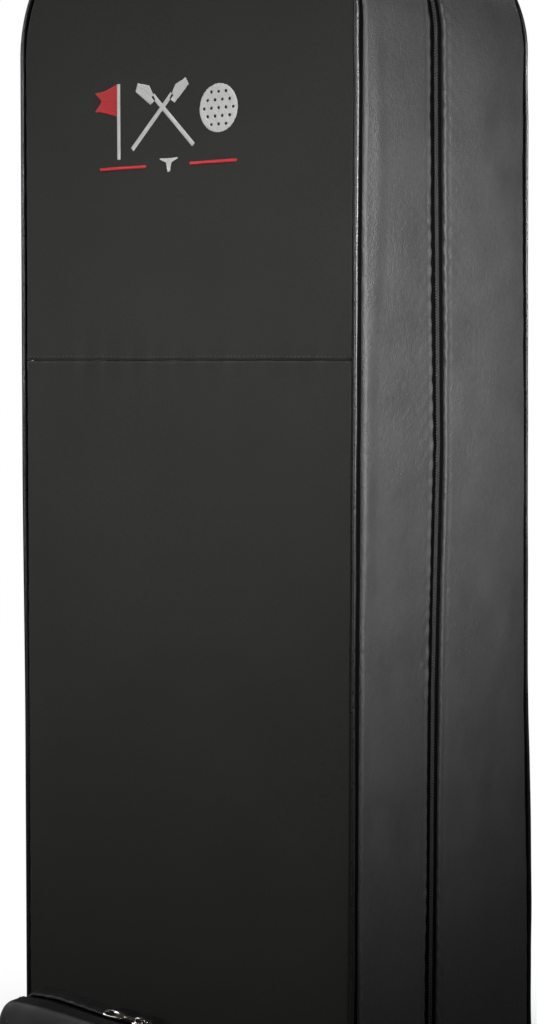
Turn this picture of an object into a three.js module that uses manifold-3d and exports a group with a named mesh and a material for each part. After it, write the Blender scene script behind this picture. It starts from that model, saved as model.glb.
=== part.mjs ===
// A soft golf travel case that stands on a moulded base tub. The front half of the shell is a lid,
// zipped to the rear half up both sides and over the crown, and it folds forward about its bottom edge.
// A shoe pocket on the lid opens the same way. Two wheels sit in the tub's back corners.
// Millimetres, +Z up, the front faces -Y, and the origin is the middle of the tub's flat underside.
import * as THREE from "three";
import { mergeVertices } from "three/addons/utils/BufferGeometryUtils.js";
import Module from "manifold-3d";

const wasm = await Module();
wasm.setup();

// ---- Driving dimensions ----
const HEIGHT = 1300; // floor to the top of the crown's fabric
const WIDTH = 380; // across the sides where the crown begins
const BASE_WIDTH = 364; // across the sides at the tub's rim
const DEPTH = 286; // front face to back face at the tub's rim
const BACK_LEAN = 16; // how far the back face comes forward between rim and crown
const CROWN_RADIUS = 125;
const TUB_HEIGHT = 80;
const LID_BOTTOM = 85;
const ZIP_SETBACK = 119; // front face to the middle of the main zip
const SEAM_HEIGHT = 894; // the seam between the two front panels, where the crown's padding starts
const SHELL = 5; // foam-backed fabric
const PIPING = 5.4;
const GAP = 0.3; // between pieces that touch
const FAR = 2000; // reach of a cutting block

// ---- Derived places ----
const FRONT = -DEPTH / 2;
const BACK = DEPTH / 2;
const ZIP = FRONT + ZIP_SETBACK;
const CROWN_START = HEIGHT - CROWN_RADIUS;
const CROWN_CENTRE = WIDTH / 2 - CROWN_RADIUS;
const SIDE_SLOPE = Math.atan((WIDTH - BASE_WIDTH) / 2 / (CROWN_START - TUB_HEIGHT));
const BACK_SLOPE = Math.atan(BACK_LEAN / (HEIGHT - TUB_HEIGHT));
const halfWidthAt = (z) => BASE_WIDTH / 2 + Math.tan(SIDE_SLOPE) * (z - TUB_HEIGHT);

// ---- Materials ----
const material = (color, roughness, metalness = 0) =>
  new THREE.MeshStandardMaterial({ color, roughness, metalness });
const PANEL_FABRIC = material(0x2f2f2d, 0.75);
const GUSSET_FABRIC = material(0x4a4a4a, 0.5);
const PIPING_VINYL = material(0x101012, 0.35);
const ZIP_TAPE = material(0x0b0b0d, 0.8);
const ZIP_TEETH = material(0x4c4c4e, 0.4);
const WEBBING = material(0x19191b, 0.7);
const GRIP_PAD = material(0x222223, 0.8);
const FOAM = material(0x55565a, 0.9);
const BOARD = material(0x2a2b2d, 0.6);
const TUB_PLASTIC = material(0x18181a, 0.5);
const BUCKLE_PLASTIC = material(0x121214, 0.4);
const WHEEL_CORE = material(0x77797c, 0.5);
const WHEEL_TYRE = material(0x202022, 0.6);
const STEEL = material(0xb4b6b8, 0.3, 1);
const NICKEL = material(0xc9c4b8, 0.25, 1);

// ---- Helpers ----
// A closed geometry as a solid for cutting and joining.
function solid(geometry) {
  const bare = geometry.clone();
  bare.deleteAttribute("normal");
  bare.deleteAttribute("uv");
  const merged = mergeVertices(bare, 1e-3);
  return new wasm.Manifold(
    new wasm.Mesh({
      numProp: 3,
      vertProperties: new Float32Array(merged.attributes.position.array),
      triVerts: new Uint32Array(merged.index.array),
    }),
  );
}

function geometryOf(manifold) {
  const mesh = manifold.getMesh();
  const geometry = new THREE.BufferGeometry();
  geometry.setAttribute("position", new THREE.BufferAttribute(mesh.vertProperties, 3));
  geometry.setIndex(new THREE.BufferAttribute(mesh.triVerts, 1));
  geometry.computeVertexNormals();
  return geometry;
}

const join = (...geometries) => geometryOf(geometries.map(solid).reduce((a, b) => a.add(b)));
const cut = (geometry, ...tools) =>
  geometryOf(tools.map(solid).reduce((a, b) => a.subtract(b), solid(geometry)));

// A shape drawn in X and Z, made solid between two Y values.
function slabY(shape, low, high, curveSegments = 5) {
  const slab = new THREE.ExtrudeGeometry(shape, {
    depth: high - low,
    bevelEnabled: false,
    curveSegments,
  });
  return slab.rotateX(Math.PI / 2).translate(0, high, 0);
}

// A shape drawn in X and Y, made solid between two Z values.
function slabZ(shape, low, high, curveSegments = 4) {
  const slab = new THREE.ExtrudeGeometry(shape, {
    depth: high - low,
    bevelEnabled: false,
    curveSegments,
  });
  return slab.translate(0, 0, low);
}

function block(x, y, z) {
  const box = new THREE.BoxGeometry(x[1] - x[0], y[1] - y[0], z[1] - z[0]);
  return box.translate((x[0] + x[1]) / 2, (y[0] + y[1]) / 2, (z[0] + z[1]) / 2);
}

// A bar along X.
function rod(radius, low, high, y, z, sides = 20) {
  const bar = new THREE.CylinderGeometry(radius, radius, high - low, sides);
  return bar.rotateZ(Math.PI / 2).translate((low + high) / 2, y, z);
}

// A ring turned about the X axis, from a closed profile of [radius, x] corners.
function turned(profile, sides = 32) {
  const points = [...profile, profile[0]].map(([r, x]) => new THREE.Vector2(r, x));
  return new THREE.LatheGeometry(points, sides).rotateZ(-Math.PI / 2);
}

function roundedRectangle(left, right, low, high, lowRadius, highRadius = lowRadius) {
  const shape = new THREE.Shape();
  shape.moveTo(left + lowRadius, low);
  shape.absarc(right - lowRadius, low + lowRadius, lowRadius, -Math.PI / 2, 0, false);
  shape.absarc(right - highRadius, high - highRadius, highRadius, 0, Math.PI / 2, false);
  shape.absarc(left + highRadius, high - highRadius, highRadius, Math.PI / 2, Math.PI, false);
  shape.absarc(left + lowRadius, low + lowRadius, lowRadius, Math.PI, 1.5 * Math.PI, false);
  return shape;
}

// The case seen from the front, taken in by an inset, from a height up to the crown.
function archShape(inset, bottom) {
  const shape = new THREE.Shape();
  const side = halfWidthAt(bottom) - inset;
  shape.moveTo(-side, bottom);
  shape.lineTo(side, bottom);
  shape.absarc(CROWN_CENTRE, CROWN_START, CROWN_RADIUS - inset, 0, Math.PI / 2, false);
  shape.absarc(-CROWN_CENTRE, CROWN_START, CROWN_RADIUS - inset, Math.PI / 2, Math.PI, false);
  return shape;
}

// A strip of that outline between two insets: up one side, over the crown and down the other.
function archBand(outer, inner, bottom) {
  const shape = new THREE.Shape();
  const side = halfWidthAt(bottom);
  shape.moveTo(side - inner, bottom);
  shape.lineTo(side - outer, bottom);
  shape.absarc(CROWN_CENTRE, CROWN_START, CROWN_RADIUS - outer, 0, Math.PI / 2, false);
  shape.absarc(-CROWN_CENTRE, CROWN_START, CROWN_RADIUS - outer, Math.PI / 2, Math.PI, false);
  shape.lineTo(outer - side, bottom);
  shape.lineTo(inner - side, bottom);
  shape.absarc(-CROWN_CENTRE, CROWN_START, CROWN_RADIUS - inner, Math.PI, Math.PI / 2, true);
  shape.absarc(CROWN_CENTRE, CROWN_START, CROWN_RADIUS - inner, Math.PI / 2, 0, true);
  return shape;
}

// A flat strip bent along a smooth line through points, as wide as given along Y.
function ribbon(points, thickness, width, from = 0, to = 1, steps = 28) {
  const line = new THREE.SplineCurve(points.map(([a, b]) => new THREE.Vector2(a, b)));
  const sides = [1, -1].map((side) =>
    Array.from({ length: steps + 1 }, (_, i) => {
      const t = from + ((to - from) * i) / steps;
      const across = line.getTangent(t).rotateAround(new THREE.Vector2(), Math.PI / 2);
      return line.getPoint(t).addScaledVector(across, (side * thickness) / 2);
    }),
  );
  const shape = new THREE.Shape([...sides[1], ...sides[0].reverse()]);
  return slabY(shape, -width / 2, width / 2);
}

const mirrored = (points) => [...points, ...points.slice(0, -1).reverse().map(([a, b]) => [-a, b])];

const golfCase = new THREE.Group();

function add(name, geometry, finish, parent = golfCase) {
  const mesh = new THREE.Mesh(geometry, finish);
  mesh.name = name;
  parent.add(mesh);
  return mesh;
}

// The back face leans forward: pieces on it are built with their outer face at y = 0 and heights from the rim.
const backFace = new THREE.Group();
backFace.position.set(0, BACK, TUB_HEIGHT);
backFace.rotation.x = BACK_SLOPE;
golfCase.add(backFace);

// A block behind the leaning back face, moved forward by an inset.
const behindBack = (inset) =>
  block([-FAR / 2, FAR / 2], [0, FAR], [-FAR, FAR])
    .rotateX(BACK_SLOPE)
    .translate(0, BACK - inset, TUB_HEIGHT);

// The outline's heights count from the floor, and the back face's from the rim.
const onBack = (shape, low, high) => slabY(shape, low, high).translate(0, 0, -TUB_HEIGHT);

// ---- Base tub ----
const TUB_WALL = 4;
const TUB_CORNER = 28;
const RIB = 3;
const RIB_X = 60;
const WHEEL_X = 128;
const WHEEL_RADIUS = 31;
const WHEEL_WIDTH = 24;
const AXLE_Y = BACK + 16 - WHEEL_RADIUS;
const AXLE_Z = WHEEL_RADIUS + 1.5;
const AXLE_RADIUS = 4;
const BEARING_RADIUS = 11;
const HUB_RADIUS = 19;
const WELL = { half: 20, wall: 4, front: AXLE_Y - 40, top: AXLE_Z + 40 };
const RUNNING = 0.35; // clearance of a faceted shaft in a faceted hole

function footprint(inset) {
  const half = BASE_WIDTH / 2 - inset;
  return roundedRectangle(-half, half, FRONT + inset, BACK - inset, TUB_CORNER - inset);
}

function baseTub() {
  const pan = cut(slabZ(footprint(0), 0, TUB_HEIGHT), slabZ(footprint(TUB_WALL), TUB_WALL, FAR));
  const ribTop = WELL.top + 0.4;
  const reachX = BASE_WIDTH / 2 - TUB_WALL / 2;
  const reachY = BACK - TUB_WALL / 2;
  const ribs = [
    block([-reachX, reachX], [-RIB / 2, RIB / 2], [1, ribTop]),
    ...[-RIB_X, RIB_X].map((x) =>
      block([x - RIB / 2, x + RIB / 2], [-reachY, reachY], [1, ribTop]),
    ),
  ];
  const wells = [-WHEEL_X, WHEEL_X].map((x) =>
    block(
      [x - WELL.half - GAP, x + WELL.half + GAP],
      [WELL.front - GAP, FAR],
      [-FAR, WELL.top + GAP],
    ),
  );
  return cut(join(pan, ...ribs), ...wells);
}

add("base_tub", baseTub(), TUB_PLASTIC);
add("base_board", slabZ(footprint(TUB_WALL + 0.6), WELL.top + 0.7, WELL.top + 4.7), BOARD);

// ---- Wheels ----
function wheelHousing(x) {
  const { half, wall, front, top } = WELL;
  const flange = block([x - half - 6, x + half + 6], [BACK + GAP, BACK + 3], [0.5, top + 6]);
  const shell = block([x - half, x + half], [front, BACK + 3], [0.5, top]);
  const room = block([x - half + wall, x + half - wall], [front + wall, FAR], [-FAR, top - wall]);
  const pivot = rod(AXLE_RADIUS + RUNNING, x - FAR, x + FAR, AXLE_Y, AXLE_Z);
  return cut(join(flange, shell), room, pivot);
}

// A steel pin with a collar beside each bearing and a riveted head outside each cheek of the housing.
function axle(x) {
  const cheek = WELL.half + GAP;
  const pin = rod(AXLE_RADIUS, x - cheek - 1, x + cheek + 1, AXLE_Y, AXLE_Z);
  const rings = [-1, 1].flatMap((side) => {
    const ring = (radius, near, far) => {
      const ends = [x + side * near, x + side * far].sort((a, b) => a - b);
      return rod(radius, ...ends, AXLE_Y, AXLE_Z);
    };
    return [ring(6, 12.4, WELL.half - WELL.wall - 0.4), ring(7, cheek, cheek + 2)];
  });
  return join(pin, ...rings);
}

const HUB_PROFILE = [
  [BEARING_RADIUS + GAP, -12],
  [HUB_RADIUS, -12],
  [HUB_RADIUS, 12],
  [BEARING_RADIUS + GAP, 12],
  [BEARING_RADIUS + GAP, 5],
  [6, 5],
  [6, -5],
  [BEARING_RADIUS + GAP, -5],
];
const TYRE_PROFILE = [
  [HUB_RADIUS + GAP, -WHEEL_WIDTH / 2],
  [WHEEL_RADIUS - 5, -WHEEL_WIDTH / 2],
  [WHEEL_RADIUS - 1.4, -WHEEL_WIDTH / 2 + 2.2],
  [WHEEL_RADIUS, -WHEEL_WIDTH / 2 + 6],
  [WHEEL_RADIUS, WHEEL_WIDTH / 2 - 6],
  [WHEEL_RADIUS - 1.4, WHEEL_WIDTH / 2 - 2.2],
  [WHEEL_RADIUS - 5, WHEEL_WIDTH / 2],
  [HUB_RADIUS + GAP, WHEEL_WIDTH / 2],
];
const BEARING_PROFILE = [
  [AXLE_RADIUS + RUNNING, 5.3],
  [BEARING_RADIUS, 5.3],
  [BEARING_RADIUS, 11.7],
  [AXLE_RADIUS + RUNNING, 11.7],
];

for (const [side, sign] of [["left", -1], ["right", 1]]) {
  const x = sign * WHEEL_X;
  add(`wheel_housing_${side}`, wheelHousing(x), TUB_PLASTIC);
  add(`axle_${side}`, axle(x), STEEL);
  const wheel = new THREE.Group();
  wheel.position.set(x, AXLE_Y, AXLE_Z);
  golfCase.add(wheel);
  add(`wheel_hub_${side}`, turned(HUB_PROFILE), WHEEL_CORE, wheel);
  add(`wheel_tyre_${side}`, turned(TYRE_PROFILE), WHEEL_TYRE, wheel);
  add(`wheel_bearing_${side}_outer`, turned(BEARING_PROFILE, 20), STEEL, wheel).rotation.y =
    sign > 0 ? 0 : Math.PI;
  add(`wheel_bearing_${side}_inner`, turned(BEARING_PROFILE, 20), STEEL, wheel).rotation.y =
    sign > 0 ? Math.PI : 0;
}

// ---- Rear shell ----
const ZIP_HALF = 10; // from the middle of the zip to the gusset's folded edge
const TEETH_HALF = 5;
const TEETH_GAP = 0.6;
const TEETH_DEPTH = [2.8, 5]; // below the fabric's outer face
const TAPE_DEPTH = [5.3, 6.3];
const TAPE_REACH = 20; // from the middle of the zip to the tape's hidden edge
const BOARD_THICK = 2.5;
const REAR_BOTTOM = TUB_HEIGHT + GAP;
const PAD = 10;
const PAD_BOTTOM = SEAM_HEIGHT + 6;

add("back_panel", onBack(archShape(PIPING + GAP, REAR_BOTTOM), -SHELL, 0), PANEL_FABRIC, backFace);
add(
  "back_board",
  onBack(archShape(SHELL + PAD + 2, REAR_BOTTOM + 5), -SHELL - GAP - BOARD_THICK, -SHELL - GAP),
  BOARD,
  backFace,
);
add(
  "rear_piping",
  onBack(archBand(0.2, PIPING, REAR_BOTTOM), -PIPING, -0.2),
  PIPING_VINYL,
  backFace,
);
add(
  "rear_gusset",
  cut(slabY(archBand(0, SHELL, REAR_BOTTOM), ZIP + ZIP_HALF, BACK + 20), behindBack(PIPING + GAP)),
  GUSSET_FABRIC,
);
add(
  "rear_zip_tape",
  slabY(archBand(...TAPE_DEPTH, LID_BOTTOM), ZIP + TEETH_GAP, ZIP + TAPE_REACH),
  ZIP_TAPE,
);
add(
  "rear_zip_teeth",
  slabY(archBand(...TEETH_DEPTH, LID_BOTTOM), ZIP + TEETH_GAP, ZIP + TEETH_HALF),
  ZIP_TEETH,
);
add(
  "rear_crown_pad",
  cut(
    slabY(archBand(SHELL + 0.4, SHELL + 0.4 + PAD, PAD_BOTTOM), ZIP + TAPE_REACH + 4, BACK + 20),
    behindBack(SHELL + 2),
  ),
  FOAM,
);

// Two moulded rails on the lower back, which the case slides on over kerbs and stairs.
const RAIL = { x: 100, half: 12, thick: 7, low: 15, high: 480 };
const SCREW_HEIGHTS = { low: 40, middle: 250, high: 455 };

function skidRail() {
  const side = new THREE.Shape();
  side.moveTo(GAP, RAIL.low);
  side.lineTo(RAIL.thick * 0.7, RAIL.low);
  side.lineTo(RAIL.thick, RAIL.low + 8);
  side.lineTo(RAIL.thick, RAIL.high - 30);
  side.lineTo(GAP + 1.5, RAIL.high);
  side.lineTo(GAP, RAIL.high);
  const bar = new THREE.ExtrudeGeometry(side, { depth: 2 * RAIL.half, bevelEnabled: false });
  // The profile is drawn in thickness and height, and extrudes across the rail.
  bar.applyMatrix4(new THREE.Matrix4().set(0, 0, 1, -RAIL.half, 1, 0, 0, 0, 0, 1, 0, 0, 0, 0, 0, 1));
  const seats = Object.values(SCREW_HEIGHTS).map((z) =>
    new THREE.CylinderGeometry(5.4, 5.4, 20, 20).translate(0, RAIL.thick + 10 - 3.4, z),
  );
  return cut(bar, ...seats);
}

for (const [side, sign] of [["left", -1], ["right", 1]]) {
  add(`skid_rail_${side}`, skidRail(), TUB_PLASTIC, backFace).position.x = sign * RAIL.x;
  for (const [place, z] of Object.entries(SCREW_HEIGHTS)) {
    const head = new THREE.CylinderGeometry(4.2, 5, 2.4, 20);
    const driveSlot = block([-3.2, 3.2], [0.4, 3], [-0.6, 0.6]);
    const screw = cut(head, driveSlot);
    add(`rail_screw_${side}_${place}`, screw, STEEL, backFace).position.set(
      sign * RAIL.x,
      RAIL.thick - 3.4 + GAP + 1.2,
      z,
    );
  }
}

// ---- Holding straps inside the back ----
const STRAP_HALF = 19;
const STRAP_THICK = 1.6;
const STRAP_HEIGHTS = { lower: 270, upper: 720 }; // above the rim
const STRAP_Y = -SHELL - GAP - BOARD_THICK - 0.4 - STRAP_THICK / 2;
const STRAP_END = 150;
const BUCKLE_HALF = 23;
const BUCKLE_FACE = STRAP_Y - 8.6; // the face towards the golf bag
const BUCKLE_BACK = STRAP_Y + STRAP_THICK / 2 + 0.1;
const SOCKET = { left: -26, right: 16, wall: 4.5 };
const PRONG_Y = [BUCKLE_FACE + 2.6, BUCKLE_FACE + 5.6];

function buckleSocket() {
  const body = block(
    [SOCKET.left, SOCKET.right],
    [BUCKLE_FACE, BUCKLE_BACK],
    [-BUCKLE_HALF, BUCKLE_HALF],
  );
  const inner = BUCKLE_HALF - SOCKET.wall;
  const room = block([-18, FAR], [PRONG_Y[0] - 0.6, PRONG_Y[1] + 0.6], [-inner, inner]);
  const windows = block([-8, 6], [PRONG_Y[0] - 0.6, PRONG_Y[1] + 0.6], [-FAR, FAR]);
  return cut(body, room, windows);
}

// The plug straddles its webbing, so it can be slid along it.
function bucklePlug() {
  const body = block(
    [SOCKET.right + 2, SOCKET.right + 24],
    [BUCKLE_FACE, BUCKLE_BACK],
    [-BUCKLE_HALF, BUCKLE_HALF],
  );
  const channel = block(
    [-FAR, FAR],
    [STRAP_Y - STRAP_THICK / 2 - 0.7, FAR],
    [-STRAP_HALF - 0.7, STRAP_HALF + 0.7],
  );
  const prong = (x, low, high) => block([x, SOCKET.right + 3], PRONG_Y, [low, high]);
  return join(cut(body, channel), prong(-14, -4, 4), prong(-8, 11, 17.5), prong(-8, -17.5, -11));
}

for (const [level, z] of Object.entries(STRAP_HEIGHTS)) {
  const strap = (from, to) =>
    block(
      [from, to],
      [STRAP_Y - STRAP_THICK / 2, STRAP_Y + STRAP_THICK / 2],
      [-STRAP_HALF, STRAP_HALF],
    );
  for (const [name, geometry, finish] of [
    [`${level}_strap_left`, strap(-STRAP_END, SOCKET.left - GAP), WEBBING],
    [`${level}_strap_right`, strap(SOCKET.right + 2, STRAP_END), WEBBING],
    [`${level}_buckle_socket`, buckleSocket(), BUCKLE_PLASTIC],
    [`${level}_buckle_plug`, bucklePlug(), BUCKLE_PLASTIC],
  ])
    add(name, geometry, finish, backFace).position.z = z;
}

// ---- Handles ----
const HANDLE_WEB = 3;
const HANDLE_WIDTH = 36;
const GRIP_THICK = 11;
const GRIP_WIDTH = 46;
const GRIP_SPAN = [0.29, 0.71]; // share of the webbing's length

function handle(name, points, parent) {
  add(`${name}_webbing`, ribbon(points, HANDLE_WEB, HANDLE_WIDTH), WEBBING, parent);
  const wrap = ribbon(points, GRIP_THICK, GRIP_WIDTH, ...GRIP_SPAN, 14);
  const sleeve = ribbon(points, HANDLE_WEB + 2 * GAP, HANDLE_WIDTH + 2 * GAP);
  add(`${name}_grip`, cut(wrap, sleeve), GRIP_PAD, parent);
}

const haulPlace = new THREE.Group();
haulPlace.position.set(0, 55, HEIGHT);
golfCase.add(haulPlace);
handle("haul_handle", mirrored([[-116, -8], [-94, 0], [-74, 5], [-44, 22], [0, 33]]), haulPlace);

// A place on the left side: local X points out of the case, local Z up along the side.
function leftSide(y, z) {
  const turn = new THREE.Group();
  turn.rotation.z = Math.PI;
  turn.position.set(-halfWidthAt(z), y, z);
  const lean = new THREE.Group();
  lean.rotation.y = SIDE_SLOPE;
  turn.add(lean);
  golfCase.add(turn);
  return lean;
}

const CARRY_HEIGHT = 650;
const CARRY_Y = 60;
const carryPoints = mirrored([[-122, 2], [-100, 2.2], [-80, 6], [-48, 24], [0, 34]]).map(
  ([along, out]) => [out, -along],
);
handle("carry_handle", carryPoints, leftSide(CARRY_Y, CARRY_HEIGHT));

// ---- Lid ----
const panelInset = PIPING + GAP;
const upperPanel = slabY(archShape(panelInset, SEAM_HEIGHT + GAP), FRONT, FRONT + SHELL);
const lowerPanel = new THREE.Shape();
lowerPanel.moveTo(halfWidthAt(LID_BOTTOM) - panelInset, LID_BOTTOM);
lowerPanel.lineTo(halfWidthAt(SEAM_HEIGHT) - panelInset, SEAM_HEIGHT);
lowerPanel.lineTo(-halfWidthAt(SEAM_HEIGHT) + panelInset, SEAM_HEIGHT);
lowerPanel.lineTo(-halfWidthAt(LID_BOTTOM) + panelInset, LID_BOTTOM);

add("front_panel_upper", upperPanel, PANEL_FABRIC);
add("front_panel_lower", slabY(lowerPanel, FRONT, FRONT + SHELL), PANEL_FABRIC);
add(
  "front_piping",
  slabY(archBand(0.2, PIPING, LID_BOTTOM), FRONT + 0.2, FRONT + PIPING),
  PIPING_VINYL,
);
add(
  "front_gusset",
  slabY(archBand(0, SHELL, LID_BOTTOM), FRONT + PIPING + GAP, ZIP - ZIP_HALF),
  GUSSET_FABRIC,
);
add(
  "front_zip_tape",
  slabY(archBand(...TAPE_DEPTH, LID_BOTTOM), ZIP - TAPE_REACH, ZIP - TEETH_GAP),
  ZIP_TAPE,
);
add(
  "front_zip_teeth",
  slabY(archBand(...TEETH_DEPTH, LID_BOTTOM), ZIP - TEETH_HALF, ZIP - TEETH_GAP),
  ZIP_TEETH,
);
add(
  "front_crown_pad",
  slabY(archShape(12, PAD_BOTTOM), FRONT + SHELL + GAP, FRONT + SHELL + GAP + PAD),
  FOAM,
);
// The fabric strip on the tub's front that the lid folds about.
const HINGE_STRIP_HALF = BASE_WIDTH / 2 - TUB_CORNER - 4;
add(
  "hinge_strip",
  block([-HINGE_STRIP_HALF, HINGE_STRIP_HALF], [FRONT - 2.3, FRONT - GAP], [50, LID_BOTTOM - 0.7]),
  WEBBING,
);

// ---- Shoe pocket ----
const POCKET = {
  half: 170,
  low: 150,
  high: 312,
  depth: 80,
  zip: 22, // from the front panel to the middle of the pocket's zip
  wall: 4,
  edge: 22, // rounding of the pocket's front edges
  zipBottom: 185,
};
const POCKET_ZIP = FRONT - POCKET.zip;
const POCKET_ZIP_HALF = 6;
const POCKET_TEETH_HALF = 3.6;

const pocketOutline = (inset) =>
  roundedRectangle(
    -POCKET.half + inset,
    POCKET.half - inset,
    POCKET.low + inset,
    POCKET.high - inset,
    28 - inset,
    36 - inset,
  );

const pocketRing = (outer, inner, low, high) =>
  cut(slabY(pocketOutline(outer), low, high, 4), slabY(pocketOutline(inner), low - 1, high + 1, 4));

add(
  "pocket_collar",
  pocketRing(0, POCKET.wall, POCKET_ZIP + POCKET_ZIP_HALF, FRONT - GAP),
  PANEL_FABRIC,
);

// A tray with rounded front edges: a bevelled block cut in half, less a smaller one.
function pocketTray() {
  const back = POCKET_ZIP - POCKET_ZIP_HALF;
  const front = FRONT - POCKET.depth;
  const form = (inset) => {
    const round = POCKET.edge - inset;
    const reach = back - front - inset - round;
    const half = new THREE.ExtrudeGeometry(pocketOutline(inset + round), {
      depth: 2 * reach,
      bevelThickness: round,
      bevelSize: round,
      bevelSegments: 3,
      curveSegments: 4,
    });
    return half.rotateX(Math.PI / 2).translate(0, back + reach, 0);
  };
  const behind = block([-FAR, FAR], [back, FAR], [-FAR, FAR]);
  return cut(form(0), behind, form(POCKET.wall));
}

add("pocket_front", pocketTray(), PANEL_FABRIC);

// Tape and teeth of one side of the pocket's zip, along its two ends and its top.
function pocketZip(sign) {
  const span = (near, far) =>
    [POCKET_ZIP + sign * near, POCKET_ZIP + sign * far].sort((a, b) => a - b);
  const teeth = pocketRing(2, 4.6, ...span(0.5, POCKET_TEETH_HALF));
  const tape = pocketRing(4.3, 5.3, ...span(0.5, 15));
  const below = block([-FAR, FAR], [-FAR, FAR], [-FAR, POCKET.zipBottom]);
  return cut(join(teeth, tape), below);
}

add("pocket_zip_rear", pocketZip(1), ZIP_TAPE);
add("pocket_zip_front", pocketZip(-1), ZIP_TAPE);

// ---- Zip sliders and pulls ----
// Local X points out of the fabric, whose outer face is x = 0, local Z runs along the zip.
const SLIDER_HALF = 11;

function sliderPlate(low, high) {
  const outline = new THREE.Shape();
  outline.moveTo(-5, -SLIDER_HALF);
  outline.lineTo(5, -SLIDER_HALF);
  outline.lineTo(7, -SLIDER_HALF + 5);
  outline.absarc(0, SLIDER_HALF - 7, 7, 0, Math.PI, false);
  outline.lineTo(-7, -SLIDER_HALF + 5);
  // Drawn in Y and Z, and solid between two X values.
  const plate = new THREE.ExtrudeGeometry(outline, {
    depth: high - low,
    bevelEnabled: false,
    curveSegments: 8,
  });
  plate.applyMatrix4(new THREE.Matrix4().set(0, 0, 1, low, 1, 0, 0, 0, 0, 1, 0, 0, 0, 0, 0, 1));
  return plate;
}

const PIVOT = 1.4; // how far the pull's pin stands out of the fabric's face

function slider() {
  const post = block([-6.8, -2.2], [-0.3, 0.3], [-5, 5]);
  const legs = [-7, 7].map((z) => block([-0.8, 4], [-1.5, 1.5], [z - 1, z + 1]));
  const bridge = block([3.2, 5], [-1.5, 1.5], [-8, 8]);
  return join(sliderPlate(-8.2, -6.6), sliderPlate(-2.4, -0.6), post, ...legs, bridge);
}

function pull() {
  const x = [PIVOT - 1, PIVOT + 1];
  const pin = new THREE.CylinderGeometry(0.9, 0.9, 6, 12).translate(PIVOT, 0, 0);
  const arms = [-2.9, 2.9].map((y) => block(x, [y - 0.9, y + 0.9], [-15, 1.3]));
  const tab = block(x, [-5, 5], [-42, -14]);
  const hole = block([-FAR, FAR], [-2.2, 2.2], [-36, -28]);
  return join(pin, ...arms, cut(tab, hole));
}

const SLIDER_HEIGHTS = { upper: 800, lower: 745 };
for (const [place, z] of Object.entries(SLIDER_HEIGHTS)) {
  const where = leftSide(ZIP, z);
  add(`${place}_slider`, slider(), NICKEL, where);
  add(`${place}_pull`, pull(), NICKEL, where);
}

// The pocket's slider lies on top of the pocket, with its pull laid towards the left.
const POCKET_SLIDER_X = -24;
const pocketSliderPlace = new THREE.Group();
pocketSliderPlace.position.set(POCKET_SLIDER_X, POCKET_ZIP, POCKET.high);
pocketSliderPlace.rotation.set(0, -Math.PI / 2, Math.PI, "ZYX");
golfCase.add(pocketSliderPlace);

const POCKET_SLIDER_HALF = 5.2;

function pocketSlider() {
  const plate = (low, high) => block([low, high], [-POCKET_SLIDER_HALF, POCKET_SLIDER_HALF], [-9, 9]);
  const post = block([-5.8, -1.5], [-0.2, 0.2], [-4, 4]);
  const legs = [-7, 7].map((z) => block([-0.8, 4], [-1.5, 1.5], [z - 1, z + 1]));
  const bridge = block([3.2, 5], [-1.5, 1.5], [-8, 8]);
  return join(plate(-7.2, -5.7), plate(-1.7, -0.5), post, ...legs, bridge);
}

add("pocket_slider", pocketSlider(), NICKEL, pocketSliderPlace);
add("pocket_pull", pull(), NICKEL, pocketSliderPlace);

export default golfCase;
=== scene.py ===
# %% [markdown]
# # A golf travel case
#
# The case is a tall soft shell on a moulded base tub. Its front half is a lid, zipped to the rear half.
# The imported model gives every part's place, size and joint. This lesson makes the soft parts again as
# cloth with seams, hems and puckers, gives the hard parts their fine edges, and then makes every finish.

# %% Load the frame
import math

import bmesh
import bpy
import numpy as np
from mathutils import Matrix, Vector


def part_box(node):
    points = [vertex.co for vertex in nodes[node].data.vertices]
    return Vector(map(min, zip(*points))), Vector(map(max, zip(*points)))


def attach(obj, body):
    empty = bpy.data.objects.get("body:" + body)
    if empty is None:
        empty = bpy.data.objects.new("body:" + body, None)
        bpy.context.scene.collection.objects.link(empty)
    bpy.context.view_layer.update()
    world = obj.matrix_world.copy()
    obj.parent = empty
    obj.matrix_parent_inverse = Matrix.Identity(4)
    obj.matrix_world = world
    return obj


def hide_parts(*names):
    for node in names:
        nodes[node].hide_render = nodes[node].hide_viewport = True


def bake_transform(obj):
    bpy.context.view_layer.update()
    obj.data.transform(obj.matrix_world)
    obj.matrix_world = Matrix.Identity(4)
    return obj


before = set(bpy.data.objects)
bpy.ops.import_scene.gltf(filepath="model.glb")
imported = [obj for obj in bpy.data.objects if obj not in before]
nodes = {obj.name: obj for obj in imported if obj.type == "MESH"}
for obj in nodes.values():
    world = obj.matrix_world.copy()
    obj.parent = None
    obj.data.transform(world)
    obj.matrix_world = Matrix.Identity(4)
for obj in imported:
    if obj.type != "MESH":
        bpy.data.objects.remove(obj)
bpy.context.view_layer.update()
MM = 0.001

# %% [markdown]
# ## The case's own measures
#
# Cloth has to meet the hard parts exactly, so its sizes aren't typed in again: they are read from the
# boxes of the parts. Only what no box can tell, such as the crown's radius, is a value of its own.

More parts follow.
